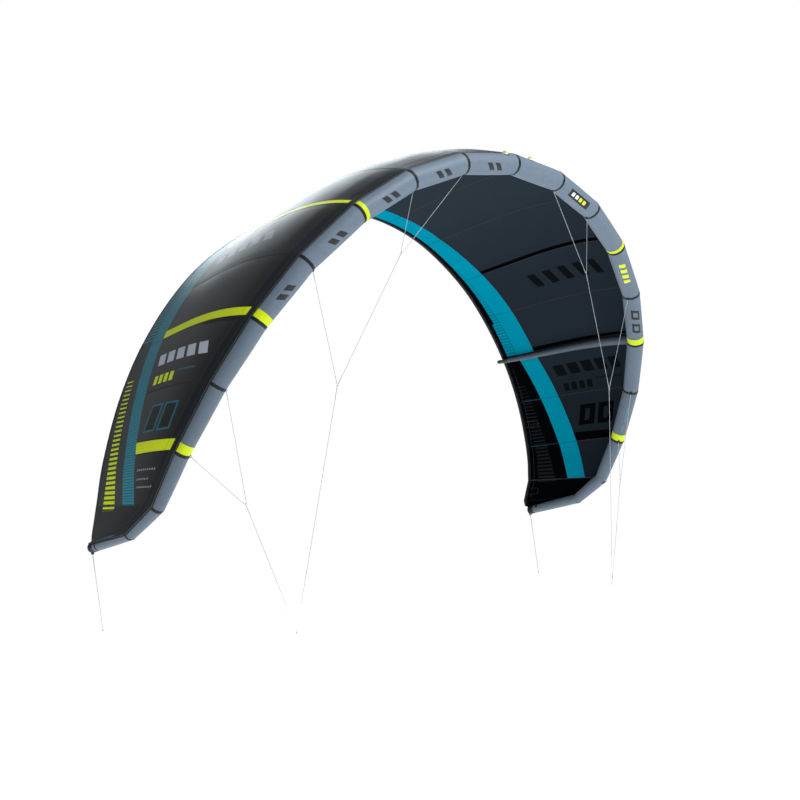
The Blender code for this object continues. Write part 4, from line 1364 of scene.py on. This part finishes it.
def add_joint_tape():
    """Adds the black tape over the canopy joint, with its saw-tooth edge and stitches."""
    tape, sewn = Pile(), Pile()
    tooth, width, rise, face = 0.0130, 0.016, 0.0065, CLOTH_THICKNESS / 2.0
    total = RUN[-1] - 0.03
    count = int(total / tooth) * 2
    for _, side in SIDES:
        top, bottom = [], []
        for n in range(count + 1):
            metres = total * n / count
            s = float(np.interp(metres, RUN, range(LAST + 1)))
            radius = tube_radius(s)
            edge = (width + (rise if n % 2 else 0.0)) / radius
            signed = s * side
            behind = cloth_at(signed, step_for(signed, 0.014, False), face + 0.0004)[0]
            front, normal = cloth_at(signed, 0.0, face + 0.0008)
            angles = (edge * 0.35, edge * 0.7, edge)
            top.append([behind, front] + [tube_point(s, a, 0.0014, side) for a in angles])
            under = [behind - normal * 0.0006, front - normal * 0.0024]
            bottom.append(under + [tube_point(s, a, -0.0003, side) for a in angles])
        tape.slab(top, bottom)
        pitch, metres = 0.012, 0.01
        while metres + 0.008 < total:
            ends = []
            for m in (metres, metres + 0.007):
                s = float(np.interp(m, RUN, range(LAST + 1)))
                ends.append(tube_point(s, (width * 0.62) / tube_radius(s), 0.0014, side))
            centre = mirrored(tube_frame(float(np.interp(metres, RUN, range(LAST + 1))))[0], side)
            stitch(sewn, ends[0], ends[1], (ends[0] - centre).normalized())
            metres += pitch
    tape.build("canopy_joint_tape", [M["black"]], "root", "webbing")
    sewn.build("joint_tape_stitches", [M["thread"]], "root", "ripstop")


def strut_axis(station, distance, radius):
    """Point on a strut's axis at a distance from the leading edge, and the way up."""
    length = station_frame(station)[1]
    part = distance / length
    step = 0.002
    tangent = (profile_point(station, part + step) - profile_point(station, part - step)).normalized()
    at = min(part, 0.97)
    lean = (profile_point(station, at + step) - profile_point(station, at - step)).normalized()
    normal = station_frame(station)[3]
    normal = (normal - lean * normal.dot(lean)).normalized()
    below = radius + STRUT_GAP + HEM_THICKNESS / 2.0
    return profile_point(station, part) - normal * below, tangent, normal


def add_strut(label, station, side):
    """Adds one strut: its sleeve, the flanges that join it to the canopy, and its cap."""
    length = station_frame(station)[1]
    first, start = tube_radius(station) * 0.72, tube_radius(station) + 0.020
    end = length - STRUT_END
    count, sides = 44, 36
    places, radii = [], []
    for n in range(count + 1):
        distance = first + (end - first) * n / count
        share = max(0.0, (distance - start) / (end - start))
        radius = STRUT_FRONT + (STRUT_REAR - STRUT_FRONT) * share
        flare = math.exp(-(distance - first) * 60.0)
        radii.append(radius * (1.0 + 0.10 * flare) * (1.0 - 0.05 * math.exp(-(end - distance) * 90.0)))
        places.append((distance, *strut_axis(station, distance, radius)))
    rings, walls = [], []
    for (distance, centre, tangent, normal), radius in zip(places, radii):
        across = tangent.cross(normal)
        pucker = 0.0011 * math.exp(-(distance - first) * 26.0) + 0.0006 * math.exp(-(end - distance) * 40.0)
        for rows, inset in ((rings, 0.0), (walls, 0.0012)):
            rows.append([mirrored(centre + (across * math.sin(a) + normal * math.cos(a))
                                  * (radius - inset + pucker * math.sin(9 * a)), side)
                         for a in [2 * math.pi * k / sides for k in range(sides)]])
    u = np.repeat(np.array([p[0] for p in places])[:, None], sides, 1)
    v = np.tile(np.linspace(0.0, 0.16, sides)[None, :], (count + 1, 1))
    sleeve = add_shell(f"{label}_strut", rings, walls, M["dacron"], (u, v))
    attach(sleeve, "root")
    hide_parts(f"{label}_strut_sleeve")

    flanges, signed = Pile(), station * side
    width = 1.0 / PANELS[min(station, LAST - 1)]
    for way in (-1, 1):
        top, bottom = [], []
        for (distance, centre, tangent, normal), radius in zip(places[2:], radii[2:]):
            across = mirrored(tangent.cross(normal), side)
            up = mirrored(normal, side)
            turn = way * 0.62
            hold = mirrored(centre, side) + (across * math.sin(turn) + up * math.cos(turn)) * radius
            reach = radius * 0.62 + 0.014 + 0.016 * math.exp(-(distance - first) * 7.0)
            towards = 1.0 if across.dot(mirrored(seam_direction(station), side)) > 0 else -1.0
            s = signed + side * way * towards * reach * width
            step = chord_step(station, distance / length)
            edge, _ = cloth_at(s, step, -(CLOTH_THICKNESS / 2.0 + 0.0002))
            middle = hold.lerp(edge, 0.5) - up * 0.0010
            row = (hold, middle, edge)
            top.append([p + up * 0.0003 for p in row])
            bottom.append([p - up * 0.0005 for p in row])
        flanges.slab(top, bottom)
    flanges.build(f"{label}_strut_flanges", [M["black"]], "root", "hem")

    distance, centre, tangent, normal = places[-1]
    direction = (places[-1][1] - places[-2][1]).normalized()
    radius = STRUT_REAR
    profile = ((-0.010, 0.94), (-0.009, 1.06), (0.004, 1.08), (0.010, 1.02), (0.016, 1.10), (0.040, 1.08),
               (0.046, 0.98), (0.052, 0.86), (0.057, 0.86), (0.062, 0.97), (0.080, 0.93), (0.087, 0.76),
               (0.0905, 0.40))
    cap = Pile()
    cap.lathe(mirrored(centre, side), mirrored(direction, side), [(d, radius * r) for d, r in profile], 32,
              mirrored(normal, side))
    obj = cap.build(f"{label}_strut_cap", [M["moulding"]], "root", "moulding")
    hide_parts(f"{label}_strut_end_cap")

    strap = Pile()
    hook = centre + direction * 0.054
    rows = []
    for n in range(9):
        t = n / 8.0
        rise = radius * 0.86 + 0.010 * math.sin(math.pi * t / 2.0)
        rows.append(hook + normal * (radius * 0.86 + (rise - radius * 0.86)) - direction * (0.030 * t))
    across = direction.cross(normal).normalized() * 0.005
    faces = [[[mirrored(p + across * w + normal * n, side) for w in (-1.0, 1.0)] for p in rows]
             for n in (0.0006, -0.0006)]
    strap.slab(*faces)
    strap.build(f"{label}_strut_strap", [M["webbing"]], "root", "webbing")


def add_valve(label, offset, radius):
    """Adds a valve with its ribbed lid, strap and sewn-in base ring."""
    side = 1 if offset > 0 else -1
    share = abs(offset) / abs(front_point(1).x)
    first, last = mirrored(front_point(0), side), mirrored(front_point(1), side)
    span = (last - first).normalized()
    tilt = math.radians(64.0)
    outward = Vector((0.0, -math.cos(tilt), math.sin(tilt)))
    outward = (outward - span * outward.dot(span)).normalized()
    tube = tube_radius(0) + (tube_radius(1) - tube_radius(0)) * share
    seat = first.lerp(last, share) + outward * (tube + GAP)
    neck, mouth = 0.012, 0.006
    body = Pile()
    profile = ((-0.001, 1.0), (0.0018, 1.0), (0.0026, 0.96), (0.0030, 0.80), (0.0042, 0.72), (0.0056, 0.66),
               (0.0064, 0.69), (0.0072, 0.66), (0.0082, 0.69), (0.0090, 0.66), (0.0112, 0.66), (neck, 0.63))
    bore = [(neck, mouth), (0.0035, mouth)]
    body.lathe(seat, outward, [(d, radius * r) for d, r in profile] + bore, 48, span)
    obj = body.build(f"{label}_valve", [M["valve"]], "root", "valve")
    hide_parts(f"{label}_valve_body")
    ring = Pile()
    ring.lathe(seat, outward, [(-0.003, radius * 1.34), (-0.0002, radius * 1.34), (0.0006, radius * 1.30),
                               (0.0006, radius * 1.02), (-0.003, radius * 1.02)], 48, span)
    ring.build(f"{label}_valve_patch", [M["black"]], "root", "webbing")

    lid = Pile()
    place = seat + outward * (neck + GAP)
    ribs, flat = 30, []
    levels = ((0.0, 0.70, 0.0), (0.0008, 0.74, 0.010), (0.0040, 0.74, 0.010), (0.0052, 0.70, 0.0),
              (0.0060, 0.58, 0.0), (0.0052, 0.50, 0.0), (0.0052, 0.10, 0.0))
    other = outward.cross(span)
    for distance, r, depth in levels:
        for k in range(ribs * 2):
            angle = math.pi * k / ribs
            wide = radius * (r + (depth * 2 if k % 2 else 0.0))
            spoke = span * math.cos(angle) + other * math.sin(angle)
            flat.append(place + outward * distance + spoke * wide)
    lid.add(flat, ring_faces(len(levels), ribs * 2))
    hinge = place - span * (side * radius * 0.80)
    rows = [hinge + outward * 0.003 + span * side * (radius * 0.16 * t) for t in (0.0, 0.5, 1.0)]
    wide = other * 0.0045
    lid.slab([[p - wide + outward * 0.0009, p + wide + outward * 0.0009] for p in rows],
             [[p - wide - outward * 0.0009, p + wide - outward * 0.0009] for p in rows])
    obj = lid.build(f"{label}_valve_cap", [M["lid"]], f"{label}_valve_lid_body", "lid")
    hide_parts(f"{label}_valve_lid")

    strap = Pile()
    rows = []
    for step in range(7):
        t = step / 6.0
        rows.append(seat - span * (side * radius * (0.98 - 0.14 * t)) + outward * (0.0015 + 0.0125 * t))
    strap.slab([[p - wide - span * side * 0.0006, p + wide - span * side * 0.0006] for p in rows],
               [[p - wide + span * side * 0.0006, p + wide + span * side * 0.0006] for p in rows])
    strap.build(f"{label}_valve_strap", [M["valve"]], "root", "valve")


# ----------------------------------------------------------- light and stage

def add_area(name, place, target, size, power, tint=(1.0, 1.0, 1.0)):
    """Adds a soft square light that faces a point."""
    data = bpy.data.lights.new(name, "AREA")
    data.color = tint
    data.shape, data.size, data.energy = "SQUARE", size, power
    light = bpy.data.objects.new(name, data)
    light.location = place
    light.rotation_mode = "QUATERNION"
    light.rotation_quaternion = (Vector(target) - Vector(place)).to_track_quat("-Z", "Y")
    bpy.context.scene.collection.objects.link(light)


def add_stage():
    """Adds the pale floor, the pale surroundings and the soft lights."""
    points, faces = [(0.0, 0.0, CAD_BOX[0].z - 0.60)], []
    for ring, radius in enumerate((4.0, 9.0, 16.0, 28.0)):
        for k in range(48):
            angle = 2 * math.pi * k / 48
            points.append((radius * math.cos(angle), radius * math.sin(angle), points[0][2]))
    for k in range(48):
        m = (k + 1) % 48
        faces.append((0, 1 + k, 1 + m))
        for ring in range(3):
            a, b = 1 + ring * 48, 1 + (ring + 1) * 48
            faces.append((a + k, b + k, b + m, a + m))
    mesh = bpy.data.meshes.new("floor")
    mesh.from_pydata(points, [], faces)
    mesh.materials.append(floor_look())
    floor = bpy.data.objects.new("floor", mesh)
    bpy.context.scene.collection.objects.link(floor)

    world = bpy.data.worlds.new("studio")
    world.use_nodes = True
    tree = world.node_tree
    seen = tree.nodes["Background"]
    seen.inputs["Color"].default_value = (1.0, 1.0, 1.0, 1.0)
    soft = tree.nodes.new("ShaderNodeBackground")
    place = tree.nodes.new("ShaderNodeTexCoord")
    split = tree.nodes.new("ShaderNodeSeparateXYZ")
    tree.links.new(place.outputs["Generated"], split.inputs[0])
    height = Number(tree, split.outputs[2]).ramp(-0.9, 1.0)
    tree.links.new((height * 0.20 + 0.15).socket, soft.inputs["Strength"])
    soft.inputs["Color"].default_value = (0.93, 0.98, 1.0, 1.0)
    rays = tree.nodes.new("ShaderNodeLightPath")
    mix = tree.nodes.new("ShaderNodeMixShader")
    tree.links.new(rays.outputs["Is Camera Ray"], mix.inputs[0])
    tree.links.new(soft.outputs[0], mix.inputs[1])
    tree.links.new(seen.outputs[0], mix.inputs[2])
    tree.links.new(mix.outputs[0], tree.nodes["World Output"].inputs[0])
    bpy.context.scene.world = world
    bpy.context.scene.view_settings.view_transform = "Standard"
    middle = (0.0, 0.8, -1.1)
    add_area("key", (1.5, -7.5, 7.0), middle, 4.0, 1500.0)
    add_area("rim", (4.2, 7.5, 3.6), (-0.9, 1.1, -0.3), 5.5, 560.0, (0.86, 0.95, 1.0))
    add_area("fill", (-7.0, -4.0, 0.5), middle, 5.0, 20.0)


# --------------------------------------------------------------------- build

add_camera()
for side_name, side_sign in SIDES:
    add_bridle(side_sign, side_name)
    add_rear_pigtail(side_sign, side_name)
canopy = add_canopy()
hem = add_hem()
seams = add_seam_tapes()
add_stitching()
add_leading_edge()
add_bands()
add_joint_tape()
for strut_label, strut_station, strut_side in STRUTS:
    add_strut(strut_label, strut_station, strut_side)
add_valve("inflation", -0.085, 0.021)
add_valve("deflation", 0.150, 0.018)
for node_name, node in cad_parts.items():
    if node_name.endswith("bladder"):
        node.data.materials.clear()
        node.data.materials.append(M["film"])
add_stage()

bpy.context.view_layer.update()
